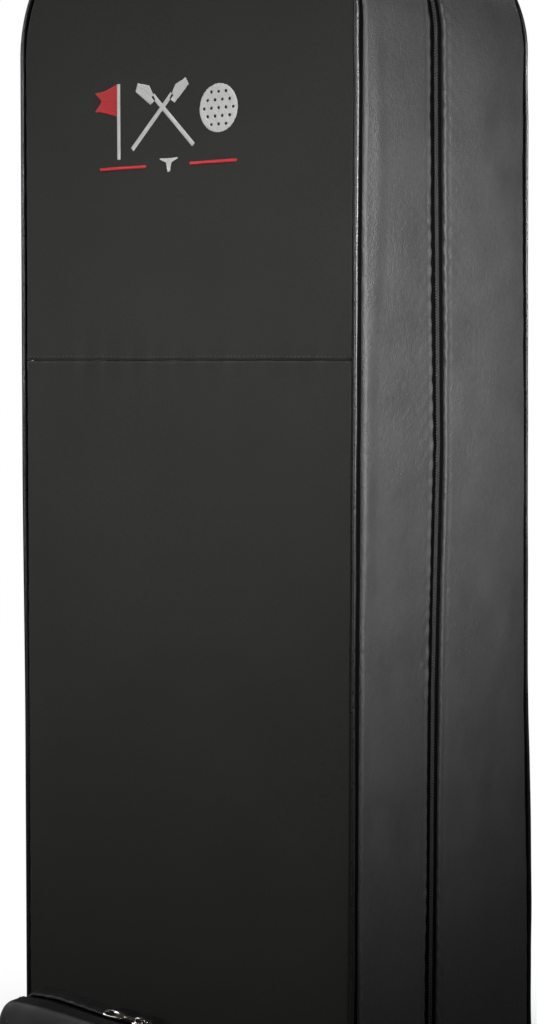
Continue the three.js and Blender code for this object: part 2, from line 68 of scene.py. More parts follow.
# %% Measures read from the parts
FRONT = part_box("front_panel_lower")[0].y
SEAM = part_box("front_panel_lower")[1].z
LID_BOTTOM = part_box("front_gusset")[0].z
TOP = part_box("front_gusset")[1].z
HALF_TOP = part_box("front_gusset")[1].x
HALF_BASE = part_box("base_tub")[1].x
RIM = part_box("base_tub")[1].z
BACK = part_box("base_tub")[1].y
SHELL = 5 * MM
BACK_AT_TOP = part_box("back_panel")[0].y + SHELL
ZIP_HALF = 10 * MM
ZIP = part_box("front_gusset")[1].y + ZIP_HALF
PIPING = 5.6 * MM
CROWN_RADIUS = 125 * MM
CROWN_START = TOP - CROWN_RADIUS
CROWN_CENTRE = HALF_TOP - CROWN_RADIUS
REAR_BOTTOM = RIM + 0.3 * MM
print(f"front {FRONT:.3f}, zip {ZIP:.3f}, seam {SEAM:.3f}, top {TOP:.3f}")

# %% [markdown]
# ## The arch
#
# Gussets, piping and zip all run the same way: up the right side, over the crown and down the left. One
# function gives the place and the outward direction for a length along that way. The two halves mirror
# each other, so it works from the nearer end. The sides lean out a little, and the back leans forward.

# %% The arch as a function of length
def eased(t):
    """Takes 0 to 1 to 0 to 1 with a soft start and end."""
    return t * t * (3 - 2 * t)


def half_width(z):
    return HALF_BASE + (HALF_TOP - HALF_BASE) * (z - RIM) / (CROWN_START - RIM)


def back_at(z):
    return BACK - (BACK - BACK_AT_TOP) * (z - RIM) / (TOP - RIM)


def plump(z):
    """0 to 1: the cloth sags outwards near the foot of the case, between the tub and the middle."""
    return eased(np.clip((0.62 - z) / 0.2, 0, 1)) * eased(np.clip((z - 0.095) / 0.12, 0, 1))


def back_edge(z):
    return back_at(z) + 5.0 * MM * plump(z)


def left_bulge(x, z):
    """How far the cord stands out on the upper left."""
    return 1.9 * MM * eased(np.clip((z - 0.55) / 0.25, 0, 1)) * (x < 0)


def zip_at(x, z):
    """The zip wanders off its straight line on the right, where the case has been opened and shut."""
    sway = np.interp(z, [0.3, 0.44, 0.61, 0.69, 0.82, 0.95, 1.06, 1.17], [0, 1, 1.5, 3.5, 7.5, 4.5, 2, 0])
    return ZIP + sway * MM * (x > 0)


def arch_length(bottom):
    return 2 * (CROWN_START - bottom + math.pi / 2 * CROWN_RADIUS + CROWN_CENTRE)


def arch_at(run, bottom):
    """x, z and the outward direction's x and z, at a length along the arch."""
    side, total = CROWN_START - bottom, arch_length(bottom)
    near = np.minimum(run, total - run)
    turn = np.clip((near - side) / CROWN_RADIUS, 0, math.pi / 2)
    flat = np.clip(near - side - math.pi / 2 * CROWN_RADIUS, 0, None)
    z = bottom + np.minimum(near, side) + CROWN_RADIUS * np.sin(turn)
    x = np.where(near < side, half_width(z), CROWN_CENTRE + CROWN_RADIUS * np.cos(turn) - flat)
    hand = np.where(run < total / 2, 1, -1)
    return hand * x, z, hand * np.cos(turn), np.sin(turn)


def arch_frame(run, bottom):
    """The same, with the outward direction as one vector for each place."""
    x, z, out_x, out_z = arch_at(run, bottom)
    return x, z, np.stack([out_x, 0 * run, out_z], -1)


def arch_steps(bottom, step=3 * MM):
    total = arch_length(bottom)
    return np.linspace(0, total, round(total / step) + 1)


print(f"the arch is {arch_length(LID_BOTTOM):.2f} m long")

# %% [markdown]
# ## Building meshes
#
# Blender's modelling tools suit one-off shapes. A sewn case is mostly long, regular surfaces, and those
# are quicker and more exact as grids of points, computed with numpy. Four builders make nearly everything:
# a shell with an outside and a lining, a loft through closed rings, a tube along a line, and many copies of
# a small piece such as a stitch or a zip tooth.

# %% Grids, shells and lofts
def grid_faces(rows, columns, wrap=False):
    i, j = np.meshgrid(np.arange(rows - 1), np.arange(columns - (0 if wrap else 1)), indexing="ij")
    k = (j + 1) % columns
    quads = np.stack([i * columns + j, i * columns + k, (i + 1) * columns + k, (i + 1) * columns + j], -1)
    return quads.reshape(-1, 4)


def make_piece(name, points, faces, finishes, second_from=None):
    """A mesh object with outward faces. Faces from second_from on take the second finish."""
    mesh = bpy.data.meshes.new(name)
    mesh.from_pydata(np.asarray(points).reshape(-1, 3).tolist(), [], [list(map(int, f)) for f in faces])
    for finish in finishes:
        mesh.materials.append(finish)
    if second_from is not None:
        index = np.zeros(len(mesh.polygons), np.int32)
        index[second_from:] = 1
        mesh.polygons.foreach_set("material_index", index)
    built = bmesh.new()
    built.from_mesh(mesh)
    bmesh.ops.recalc_face_normals(built, faces=built.faces)
    built.to_mesh(mesh)
    built.free()
    mesh.polygons.foreach_set("use_smooth", np.ones(len(mesh.polygons), bool))
    piece = bpy.data.objects.new(name, mesh)
    bpy.context.scene.collection.objects.link(piece)
    return piece


def shell(name, outside, inside, finish, lining):
    """A sheet with thickness: two grids of points of one shape, joined round their border."""
    rows, columns = outside.shape[:2]
    count = rows * columns
    index = np.arange(count).reshape(rows, columns)
    border = np.concatenate([index[0, :-1], index[:-1, -1], index[-1, :0:-1], index[:0:-1, 0]])
    following = np.roll(border, -1)
    rim = np.stack([border, following, following + count, border + count], -1)
    face = grid_faces(rows, columns)
    faces = [*face, *rim, *(face[:, ::-1] + count)]
    points = np.concatenate([outside.reshape(-1, 3), inside.reshape(-1, 3)])
    return make_piece(name, points, faces, [finish, lining], len(face) + len(rim))


def loft(name, rings, finish, looped=False, lining=None, lined_rows=0):
    """A solid through closed rings of points, capped at both ends unless it is a loop."""
    rows, columns = rings.shape[:2]
    if looped:
        rings = np.concatenate([rings, rings[:1]])
    faces = list(grid_faces(len(rings), columns, wrap=True) % (rows * columns))
    if not looped:
        faces = faces[::-1] + [list(range((rows - 1) * columns, rows * columns)), list(range(columns))]
    if lining:
        outer = (rows - 1 - lined_rows) * columns
        sides, caps = faces[:-2], faces[-2:]
        faces = [*sides[:outer], caps[0], *sides[outer:], caps[1]]
        return make_piece(name, rings[:rows], faces, [finish, lining], outer + 1)
    return make_piece(name, rings[:rows], faces, [finish])


def tube(name, centres, across, outward, section, finish):
    """A section of (across, outward) points carried along a line."""
    across = np.broadcast_to(across, centres.shape)
    rings = centres[:, None] + section[None, :, :1] * across[:, None] + section[None, :, 1:] * outward[:, None]
    return loft(name, rings, finish)


def round_section(radius, sides=14):
    angle = np.linspace(0, 2 * math.pi, sides, endpoint=False)
    return np.stack([radius * np.cos(angle), radius * np.sin(angle)], -1)


def flat_section(width, thickness, corner_points=3):
    """A flat strip's section with round edges."""
    angle = np.linspace(-math.pi / 2, math.pi / 2, 2 * corner_points + 1)
    reach, radius = width / 2 - thickness / 2, thickness / 2
    right = np.stack([reach + radius * np.cos(angle), radius * np.sin(angle)], -1)
    top = np.stack([np.linspace(reach, -reach, 10)[1:-1], np.full(8, radius)], -1)
    return np.concatenate([right, top, -right, -top])


print("a flat strip's section has", len(flat_section(0.036, 0.003)), "points")


# %% Many copies of a small piece
def bead(sides=6, rings=5):
    """A pill of length, width and height 1 along its first axis, which stitches and teeth are made from."""
    along = np.sin(np.linspace(-math.pi / 2, math.pi / 2, rings + 2)[1:-1])
    girth = np.sqrt(1 - along**4) * 0.5
    angle = np.linspace(0, 2 * math.pi, sides, endpoint=False)
    ring = np.stack([np.zeros(sides), np.cos(angle), np.sin(angle)], -1)
    points = ring[None] * girth[:, None, None]
    points[:, :, 0] = along[:, None] / 2
    faces = [list(f) for f in grid_faces(rings, sides, wrap=True)]
    faces += [list(range(sides)), list(range((rings - 1) * sides, rings * sides))]
    return points.reshape(-1, 3), faces


def lay_beads(name, places, along, outward, sizes, finish):
    """Copies of a bead at many places. sizes is each bead's length, width and height."""
    template, template_faces = bead()
    along, outward, sizes = (np.broadcast_to(a, places.shape) for a in (along, outward, sizes))
    across = np.cross(outward, along)
    scaled = template[None] * sizes[:, None]
    points = (
        places[:, None]
        + scaled[:, :, :1] * along[:, None]
        + scaled[:, :, 1:2] * across[:, None]
        + scaled[:, :, 2:] * outward[:, None]
    )
    faces = [[v + k * len(template) for v in f] for k in range(len(places)) for f in template_faces]
    return make_piece(name, points, faces, [finish])


def unit(vectors):
    return vectors / np.maximum(np.linalg.norm(vectors, axis=-1, keepdims=True), 1e-12)


def stitch_rows(name, lines, outwards, finish=None, length=3.4 * MM, gap=1.2 * MM, width=0.8 * MM):
    """Thread stitches along lines of points that lie close together, as one piece."""
    places, directions, ups = [], [], []
    for line, outward in zip(lines, outwards):
        run = np.concatenate([[0], np.cumsum(np.linalg.norm(np.diff(line, axis=0), axis=1))])
        at = np.arange(length, run[-1] - length / 2, length + gap)

        def on_line(values, run=run):
            return lambda t: np.stack([np.interp(t, run, values[:, k]) for k in range(3)], -1)

        place, up = on_line(line), on_line(np.broadcast_to(outward, line.shape))
        places.append(place(at))
        directions.append(unit(place(at + MM) - place(at - MM)))
        ups.append(unit(up(at)))
    along, out = np.concatenate(directions), np.concatenate(ups)
    sizes = (length, width, width * 0.8)
    return lay_beads(name, np.concatenate(places), along, out, sizes, finish or DARK_THREAD)


# %% [markdown]
# Each new piece takes the place of a imported part and moves with one body. A piece that runs across a
# joint is left where it is made.

# %% Tying pieces to the imported model
BODIES = {"front": "front_cover", "rear": "case_shell"}
ACROSS = np.array([0.0, 1.0, 0.0])
FORWARD = -ACROSS


def stand_in(piece, part, body):
    if part:
        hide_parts(part)
    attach(piece, body)


print("pieces in front of the zip move with", BODIES["front"])

# %% [markdown]
# ## How cloth strays
#
# Real cloth is never flat. A sewing machine gathers it a little, so it puckers beside each seam and it
# waves slowly over a large panel. Both are made here from smooth random values on a grid, with fixed seeds,
# so that the case comes out the same each time.

# %% Smooth random lines and fields
FIELD_START, FIELD_END = -0.5, 3.0


def wander(values, spacing, seed):
    """A smooth random value from -1 to 1 for each place on a line."""
    t = (values - FIELD_START) / spacing
    knots = np.random.default_rng(seed).uniform(-1, 1, int((FIELD_END - FIELD_START) / spacing) + 2)
    i = t.astype(int)
    f = eased(t - i)
    return knots[i] * (1 - f) + knots[i + 1] * f


def rumple(u, v, spacing_u, spacing_v, seed):
    """The same for each place on a surface."""
    u, v = np.broadcast_arrays(u, v)
    a, b = (u - FIELD_START) / spacing_u, (v - FIELD_START) / spacing_v
    counts = [int((FIELD_END - FIELD_START) / spacing) + 2 for spacing in (spacing_u, spacing_v)]
    knots = np.random.default_rng(seed).uniform(-1, 1, counts)
    i, j = a.astype(int), b.astype(int)
    f, g = eased(a - i), eased(b - j)
    near = knots[i, j] * (1 - g) + knots[i, j + 1] * g
    far = knots[i + 1, j] * (1 - g) + knots[i + 1, j + 1] * g
    return near * (1 - f) + far * f


def rolled(distance, radius):
    """How far a hem has rolled inwards at a distance from its edge."""
    left = np.clip(1 - distance / radius, 0, 1)
    return radius * (1 - np.sqrt(1 - left**2))


print("a 2 mm hem at 1 mm from its edge has rolled in by", round(float(rolled(1.0, 2.0)), 2), "mm")

# %% [markdown]
# ## Finishes
#
# Every finish starts from Blender's Principled shader. A number that is the same all over is set straight
# on the shader. What changes over the surface, such as weave, grain and wear, is worked out by texture
# nodes from the object's own coordinates, so no picture and no unwrapping is needed.

# %% Helpers for finishes
def new_finish(name, color, roughness, **settings):
    finish = bpy.data.materials.new(name)
    finish.use_nodes = True
    shader = finish.node_tree.nodes["Principled BSDF"]
    shader.inputs["Base Color"].default_value = (*color, 1)
    shader.inputs["Roughness"].default_value = roughness
    for socket, value in settings.items():
        shader.inputs[socket.replace("_", " ")].default_value = value
    return finish, finish.node_tree, shader


def node(tree, kind, inputs=(), **settings):
    made = tree.nodes.new("ShaderNode" + kind)
    for key, value in settings.items():
        setattr(made, key, value)
    for key, value in dict(inputs).items():
        if isinstance(value, bpy.types.NodeSocket):
            tree.links.new(value, made.inputs[key])
        else:
            made.inputs[key].default_value = value
    return made


def coordinates(tree):
    return node(tree, "TexCoord").outputs["Object"]


def threads(tree, direction, pitch):
    """Round threads side by side, as a height from 0 to 1."""
    scale = 2 * math.pi / (20 * pitch)
    wave = node(tree, "TexWave", {"Vector": coordinates(tree), "Scale": scale}, bands_direction=direction)
    return wave.outputs["Fac"]


def speckle(tree, size, detail=2.0):
    noise = node(tree, "TexNoise", {"Vector": coordinates(tree), "Scale": 1 / size, "Detail": detail})
    return noise.outputs["Fac"]


def combine(tree, operation, a, b):
    return node(tree, "Math", {0: a, 1: b}, operation=operation).outputs[0]


def spread(tree, value, low, high):
    """Takes a value that stays near the middle of 0 to 1 to between two others."""
    return node(tree, "MapRange", {"Value": value, 1: 0.3, 2: 0.7, 3: low, 4: high}).outputs[0]


def tint(tree, shader, value, dark, light):
    """The base colour goes from dark to light with a value from 0 to 1."""
    ramp = node(tree, "ValToRGB", {"Fac": value})
    ramp.color_ramp.elements[0].color = (*dark, 1)
    ramp.color_ramp.elements[1].color = (*light, 1)
    tree.links.new(ramp.outputs["Color"], shader.inputs["Base Color"])


def relief(tree, shader, height, depth, strength=1.0):
    bump = node(tree, "Bump", {"Height": height, "Distance": depth, "Strength": strength})
    tree.links.new(bump.outputs["Normal"], shader.inputs["Normal"])


# %% [markdown]
# The front and back are a matt polyester in plain weave. Two sets of threads cross in its height, and a
# slow cloudiness over them is what makes a large dark panel look like cloth and not like paint.

# %% Woven panel cloth
def panel_cloth():
    finish, tree, shader = new_finish(
        "panel_cloth", (0.03, 0.03, 0.028), 0.78,
        Specular_IOR_Level=0.25, Sheen_Weight=0.12, Sheen_Roughness=0.5,
    )
    weave = combine(tree, "MULTIPLY", threads(tree, "X", 0.9 * MM), threads(tree, "Z", 0.9 * MM))
    fuzz = speckle(tree, 1.6 * MM)
    cloud = speckle(tree, 60 * MM, 4.0)
    tone = combine(tree, "ADD", spread(tree, fuzz, 0.0, 0.55), spread(tree, cloud, 0.0, 0.45))
    tint(tree, shader, tone, PANEL_DARK, PANEL_LIGHT)
    tree.links.new(spread(tree, cloud, 0.72, 0.84), shader.inputs["Roughness"])
    relief(tree, shader, combine(tree, "ADD", weave, fuzz), 0.12 * MM, 0.8)
    return finish


PANEL_DARK, PANEL_LIGHT = (0.021, 0.021, 0.0195), (0.036, 0.036, 0.0335)
PANEL_CLOTH = panel_cloth()

# %% [markdown]
# The gussets are a coated nylon with a fine pebbled grain. It is smoother than the panels, so it takes a
# broad soft highlight, and each grain is a tiny bump that breaks the highlight up.

# %% Coated gusset nylon
def gusset_nylon():
    finish, tree, shader = new_finish(
        "gusset_nylon", (0.05, 0.05, 0.05), 0.5, Specular_IOR_Level=0.5, Sheen_Weight=0.05, Sheen_Roughness=0.4
    )
    grain = speckle(tree, 1.1 * MM, 3.0)
    cells = node(tree, "TexVoronoi", {"Vector": coordinates(tree), "Scale": 1 / (1.7 * MM)})
    pebble = cells.outputs["Distance"]
    cloud = speckle(tree, 45 * MM, 4.0)
    fleck = speckle(tree, 5 * MM, 3.0)
    fine = combine(tree, "ADD", spread(tree, grain, 0.0, 0.4), spread(tree, fleck, 0.0, 0.35))
    tint(tree, shader, combine(tree, "ADD", fine, spread(tree, cloud, 0.0, 0.25)), GUSSET_DARK, GUSSET_LIGHT)
    tree.links.new(spread(tree, cloud, 0.44, 0.56), shader.inputs["Roughness"])
    bumps = combine(tree, "ADD", combine(tree, "ADD", grain, pebble), combine(tree, "MULTIPLY", fleck, 1.6))
    relief(tree, shader, bumps, 0.3 * MM, 0.9)
    return finish


GUSSET_DARK, GUSSET_LIGHT = (0.028, 0.028, 0.028), (0.056, 0.056, 0.056)
GUSSET_NYLON = gusset_nylon()

# %% [markdown]
# Trimmings: vinyl piping, zip tape knitted in fine ribs, moulded teeth, ribbed webbing, and the thread
# of the stitches. They differ in gloss more than in colour, which is what tells them apart on a black case.

# %% Piping, zip, webbing and thread
def piping_vinyl():
    finish, tree, shader = new_finish("piping_vinyl", (0.008, 0.008, 0.009), 0.3, Specular_IOR_Level=0.6)
    crackle = speckle(tree, 2.5 * MM, 5.0)
    tree.links.new(spread(tree, crackle, 0.24, 0.4), shader.inputs["Roughness"])
    relief(tree, shader, crackle, 0.1 * MM, 0.5)
    return finish


def ribbed_cloth(name, dark, light, roughness, direction, pitch, depth, gloss=0.3):
    finish, tree, shader = new_finish(name, light, roughness, Specular_IOR_Level=gloss, Sheen_Weight=gloss / 4)
    ribs = threads(tree, direction, pitch)
    fuzz = speckle(tree, 0.8 * MM)
    tint(tree, shader, combine(tree, "MULTIPLY", ribs, spread(tree, fuzz, 0.5, 1.0)), dark, light)
    relief(tree, shader, combine(tree, "ADD", ribs, spread(tree, fuzz, 0.0, 0.3)), depth, 0.9)
    return finish


def teeth_nylon(name, color):
    finish, tree, shader = new_finish(name, color, 0.5, Specular_IOR_Level=0.35)
    tree.links.new(spread(tree, speckle(tree, 3 * MM), 0.45, 0.6), shader.inputs["Roughness"])
    return finish


def sewing_thread(name, color, roughness=0.55):
    finish, tree, shader = new_finish(name, color, roughness, Specular_IOR_Level=0.45, Sheen_Weight=0.2)
    twist = node(tree, "TexNoise", {"Vector": coordinates(tree), "Scale": 2500.0, "Detail": 1.0}).outputs["Fac"]
    tint(tree, shader, twist, tuple(0.7 * c for c in color), color)
    relief(tree, shader, twist, 0.1 * MM, 0.6)
    return finish


PIPING_VINYL = piping_vinyl()
# The zip tape is blacker than black cloth: partly its own black, partly painted shade of the recess between the
# hems.
TAPE_PAINTED_SHADE_DARK, TAPE_PAINTED_SHADE_LIGHT = (0.0008, 0.0008, 0.0009), (0.003, 0.003, 0.003)
WEB_DARK, WEB_LIGHT = (0.004, 0.004, 0.0045), (0.02, 0.02, 0.021)
GRIP_DARK, GRIP_LIGHT = (0.006, 0.006, 0.0065), (0.024, 0.024, 0.025)
# Its material, named zip_tape, carries that painted recess shade.
TAPE_WITH_PAINTED_SHADE = ribbed_cloth("zip_tape", TAPE_PAINTED_SHADE_DARK, TAPE_PAINTED_SHADE_LIGHT, 0.9, "Y", 0.9 * MM, 0.1 * MM, 0.04)
ZIP_TEETH = teeth_nylon("zip_teeth", (0.06, 0.06, 0.06))
POCKET_TEETH = teeth_nylon("pocket_teeth", (0.012, 0.012, 0.013))
WEBBING = ribbed_cloth("webbing", WEB_DARK, WEB_LIGHT, 0.7, "Y", 1.6 * MM, 0.35 * MM)
STRAP_WEBBING = ribbed_cloth("strap_webbing", WEB_DARK, WEB_LIGHT, 0.7, "Z", 1.6 * MM, 0.35 * MM)
GRIP_CLOTH = ribbed_cloth("grip_cloth", GRIP_DARK, GRIP_LIGHT, 0.8, "X", 2.4 * MM, 0.4 * MM)
DARK_THREAD = sewing_thread("dark_thread", (0.03, 0.03, 0.031))
WHITE_THREAD = sewing_thread("white_thread", (0.86, 0.86, 0.85), 0.45)
RED_THREAD = sewing_thread("red_thread", (0.72, 0.012, 0.02), 0.42)
print("trimmings:", [m.name for m in bpy.data.materials][-9:])

# %% [markdown]
# The lining is a thin grey taffeta. It shows when the lid is open. A quilted lining is sewn through its
# foam in a diamond pattern, so its relief comes from two sets of slanted bands, which also paint shade into the
# sewn valleys.

# %% Quilted lining
def lining_cloth():
    finish, tree, shader = new_finish("lining_cloth", (0.12, 0.12, 0.125), 0.6, Sheen_Weight=0.15)
    place = coordinates(tree)
    heights = []
    for slant in (45, -45):
        turned = node(tree, "Mapping", {"Vector": place, "Rotation": (0, math.radians(slant), 0)}).outputs[0]
        bands = node(tree, "TexWave", {"Vector": turned, "Scale": 2 * math.pi / (20 * 60 * MM)})
        heights.append(node(tree, "Math", {0: bands.outputs["Fac"], 1: 0.25}, operation="POWER").outputs[0])
    quilt = combine(tree, "MINIMUM", *heights)
    weave = combine(tree, "MULTIPLY", threads(tree, "X", 0.7 * MM), threads(tree, "Z", 0.7 * MM))
    # Painted shade: the colour darkens in the quilting valleys.
    tint(tree, shader, quilt, (0.05, 0.05, 0.054), (0.13, 0.13, 0.137))
    relief(tree, shader, combine(tree, "ADD", quilt, combine(tree, "MULTIPLY", weave, 0.04)), 3 * MM, 0.6)
    return finish


LINING = lining_cloth()

# %% [markdown]
# ## Hard finishes
#
# Moulded plastic has a spark-eroded grain, rubber is matt with scuffs, and the metal parts are nickel
# plated die castings and zinc plated steel. Plastic and rubber have paler, rougher patches where they have
# been rubbed, which a slow noise places, and the metals have fine brushed streaks.

# %% Plastic, rubber and metal
def moulded_plastic(name, color, worn, roughness, grain_size, grain_depth):
    finish, tree, shader = new_finish(name, color, roughness, Specular_IOR_Level=0.45)
    grain = node(tree, "TexVoronoi", {"Vector": coordinates(tree), "Scale": 1 / grain_size}).outputs["Distance"]
    scuffs = speckle(tree, 14 * MM, 6.0)
    marks = spread(tree, scuffs, -0.6, 1.0)
    tint(tree, shader, marks, color, worn)
    tree.links.new(spread(tree, scuffs, roughness - 0.08, roughness + 0.12), shader.inputs["Roughness"])
    relief(tree, shader, grain, grain_depth, 0.6)
    return finish


def plated_metal(name, color, roughness, brushed):
    finish, tree, shader = new_finish(name, color, roughness, Metallic=1.0)
    streaks = node(
        tree, "TexNoise", {"Vector": coordinates(tree), "Scale": 220.0, "Detail": 4.0, "Distortion": 0.4}
    ).outputs["Fac"]
    tree.links.new(spread(tree, streaks, roughness * 0.7, roughness * 1.5), shader.inputs["Roughness"])
    tint(tree, shader, streaks, tuple(0.8 * c for c in color), color)
    relief(tree, shader, streaks, brushed, 0.4)
    return finish


TUB_DARK, TUB_LIGHT = (0.011, 0.011, 0.012), (0.03, 0.03, 0.031)
BUCKLE_DARK, BUCKLE_LIGHT = (0.007, 0.007, 0.008), (0.016, 0.016, 0.017)
TYRE_DARK, TYRE_LIGHT = (0.012, 0.012, 0.012), (0.05, 0.048, 0.045)
TUB_PLASTIC = moulded_plastic("tub_plastic", TUB_DARK, TUB_LIGHT, 0.5, 1.4 * MM, 0.15 * MM)
BUCKLE_PLASTIC = moulded_plastic("buckle_plastic", BUCKLE_DARK, BUCKLE_LIGHT, 0.36, 0.7 * MM, 0.04 * MM)
WHEEL_CORE = moulded_plastic("wheel_core", (0.16, 0.16, 0.17), (0.24, 0.24, 0.25), 0.45, 1.1 * MM, 0.08 * MM)
TYRE_RUBBER = moulded_plastic("tyre_rubber", TYRE_DARK, TYRE_LIGHT, 0.7, 0.9 * MM, 0.08 * MM)
BOARD = moulded_plastic("board", (0.03, 0.03, 0.032), (0.05, 0.05, 0.052), 0.75, 2.2 * MM, 0.12 * MM)
STEEL = plated_metal("steel", (0.46, 0.46, 0.47), 0.3, 0.05 * MM)
NICKEL = plated_metal("nickel", (0.72, 0.69, 0.63), 0.16, 0.02 * MM)

# %% [markdown]
# ## Camera, floor and light
#
# The camera stands at the height of the cross seam and looks level, so upright edges stay upright. Its
# frame is shifted down, as a view camera's is: the crown is at its top edge and its bottom edge crosses the
# pocket. The floor is pale and fades into the white surroundings. Three softboxes have narrow beams that
# stay on the upper part of the case, so it darkens towards its foot, and two wide fills light its left side
# and its back.

# %% The camera
CAMERA_TURN = math.radians(37.5)
CORNER_DISTANCE = 1.737
CORNER_ASIDE = 0.0732


def set_camera():
    forward = Vector((-math.sin(CAMERA_TURN), math.cos(CAMERA_TURN), 0))
    right = Vector((math.cos(CAMERA_TURN), math.sin(CAMERA_TURN), 0))
    camera = bpy.data.objects.new("camera", bpy.data.cameras.new("camera"))
    bpy.context.scene.collection.objects.link(camera)
    corner = Vector((HALF_TOP, FRONT, SEAM))
    camera.location = corner - CORNER_DISTANCE * forward - CORNER_ASIDE * right
    camera.rotation_euler = (math.pi / 2, 0, CAMERA_TURN)
    camera.data.lens = 74.7
    camera.data.shift_y = -0.148
    bpy.context.scene.camera = camera
    return camera


camera = set_camera()
bpy.context.scene.view_settings.view_transform = "Standard"
print("camera at", tuple(round(c, 3) for c in camera.location))


# %% Light
def soft_light(name, place, target, size, watts, beam=180):
    """An area light. A beam below 180 degrees keeps it to the part of the case that it points at."""
    light = bpy.data.lights.new(name, "AREA")
    light.shape, light.size, light.size_y = "RECTANGLE", *size
    light.energy, light.spread = watts, math.radians(beam)
    lamp = bpy.data.objects.new(name, light)
    bpy.context.scene.collection.objects.link(lamp)
    lamp.location = place
    lamp.rotation_euler = (Vector(target) - Vector(place)).to_track_quat("-Z", "Y").to_euler()
    return lamp


def set_world(seen, cast):
    """Surroundings that look one brightness and light the case with another."""
    world = bpy.data.worlds.new("surroundings")
    bpy.context.scene.world = world
    world.use_nodes = True
    tree = world.node_tree
    plain = tree.nodes["Background"]
    plain.inputs["Color"].default_value = (1, 1, 1, 1)
    path = node(tree, "LightPath").outputs["Is Camera Ray"]
    strength = node(tree, "MapRange", {"Value": path, 3: cast, 4: seen})
    tree.links.new(strength.outputs[0], plain.inputs["Strength"])


set_world(seen=1.0, cast=0.035)
RIGHT_SIDE, FACE = (HALF_TOP, -0.05, 0.915), (0.08, FRONT, 0.95)
soft_light("side_softbox", (2.8, 0.3, 1.2), RIGHT_SIDE, (0.5, 0.5), 1.6, beam=20)
soft_light("key_softbox", (2.4, -1.4, 1.7), (0.15, -0.12, 0.95), (0.5, 0.5), 1.0, beam=18)
soft_light("front_softbox", (0.1, -3.2, 1.2), FACE, (0.8, 0.8), 1.5, beam=34)
soft_light("left_fill", (-2.4, -0.6, 1.9), (-HALF_TOP, 0.0, 0.8), (1.2, 1.6), 16)
soft_light("back_fill", (-0.9, 2.8, 2.2), (0.0, BACK, 0.8), (1.6, 1.4), 40)


# %% The floor
def make_floor(reach=12.0, near=0.55, far=1.25):
    """A pale floor that goes over to plain white away from the case."""
    corners = np.array([[-1, -1, 0], [1, -1, 0], [1, 1, 0], [-1, 1, 0]]) * reach
    finish, tree, shader = new_finish("floor", (0.6, 0.6, 0.6), 0.8)
    camera_ray = node(tree, "LightPath").outputs["Is Camera Ray"]
    tint(tree, shader, camera_ray, (0.25, 0.25, 0.25), (0.8, 0.8, 0.8))
    distance = node(tree, "VectorMath", {0: coordinates(tree)}, operation="LENGTH").outputs["Value"]
    reach = {"Value": distance, 1: near, 2: far, 3: 0.45, 4: 1.0}
    fade = node(tree, "MapRange", reach, interpolation_type="SMOOTHSTEP").outputs[0]
    seen = combine(tree, "MULTIPLY", fade, camera_ray)
    white = node(tree, "Emission", {"Color": (1, 1, 1, 1)}).outputs[0]
    mixed = node(tree, "MixShader", {0: seen, 1: shader.outputs[0], 2: white})
    tree.links.new(mixed.outputs[0], tree.nodes["Material Output"].inputs["Surface"])
    floor = make_piece("floor", corners, [[0, 1, 2, 3]], [finish])


make_floor()

# %% [markdown]
# ## The gussets
#
# A gusset is a long strip of foam-backed nylon that runs round the case between its face and the zip. Its
# edge at the zip is a hem, folded and stitched, and the thread's pull puckers it. Its other edge turns into
# the piping. It could be one flat strip with a bump texture, but the puckers catch the light from far away
# and break the hem's outline, so they are modelled. One function gives the surface for any length along
# the arch and any share of the strip's width, and the stitches then lie exactly on it.

# %% The gusset's surface
HEM_STITCH = 6.5 * MM
GROOVE = 4.0 * MM


def strip_edges(which, x, z):
    """Where a gusset begins, at its piping, and where it ends, at the zip."""
    if which == "front":
        return FRONT + PIPING + GROOVE + 0 * z, zip_at(x, z) - ZIP_HALF
    return back_edge(z) - PIPING, zip_at(x, z) + ZIP_HALF


def strip_width(which):
    """A gusset's width on the left side, near the crown, where the zip runs straight."""
    begin, end = strip_edges(which, np.array([-0.1]), np.array([0.8]))
    return abs(float(end[0] - begin[0]))


def gusset_surface(which, run, share, bottom):
    """Points of the outside, and their outward directions. share is 0 at the piping and 1 at the zip."""
    x, z, out_x, out_z = (a[:, None] for a in arch_at(run, bottom))
    begin, end = strip_edges(which, x, z)
    y = begin + (end - begin) * share
    from_piping, from_zip = np.abs(y - begin), np.abs(end - y)
    seed = 11 if which == "front" else 31
    along = run[:, None] + 0 * y
    pull = 0.7 + 0.5 * wander(run, 70 * MM, seed)[:, None]
    phase = 2.2 * wander(run, 45 * MM, seed + 1)[:, None]
    lift = 1.6 * MM * np.sin(math.pi * share)
    lift = lift + 1.0 * MM * rumple(along, y, 150 * MM, 60 * MM, seed + 2)
    lift = lift + 0.45 * MM * rumple(along, y, 40 * MM, 26 * MM, seed + 3)
    lift = lift - rolled(from_zip, 2.2 * MM) - rolled(from_piping, 4.5 * MM)
    lift = lift - 0.55 * MM * np.exp(-(((from_zip - HEM_STITCH) / (1.6 * MM)) ** 2))
    slanted = along + 0.9 * from_zip
    puckers = np.sin(2 * math.pi * slanted / (15 * MM) + phase)
    lift = lift + 0.5 * MM * pull * np.exp(-from_zip / (13 * MM)) * puckers
    ripples = np.sin(2 * math.pi * (along - 0.6 * from_piping) / (29 * MM) - 2.2 * phase)
    lift = lift + 0.25 * MM * pull * np.exp(-from_piping / (9 * MM)) * ripples
    if which == "front":
        lift = lift + standing_crease(run, z, from_piping)
    outward = np.stack(np.broadcast_arrays(out_x, 0 * y, out_z), -1)
    base = np.stack(np.broadcast_arrays(x, y, z), -1)
    return base + lift[..., None] * outward, outward


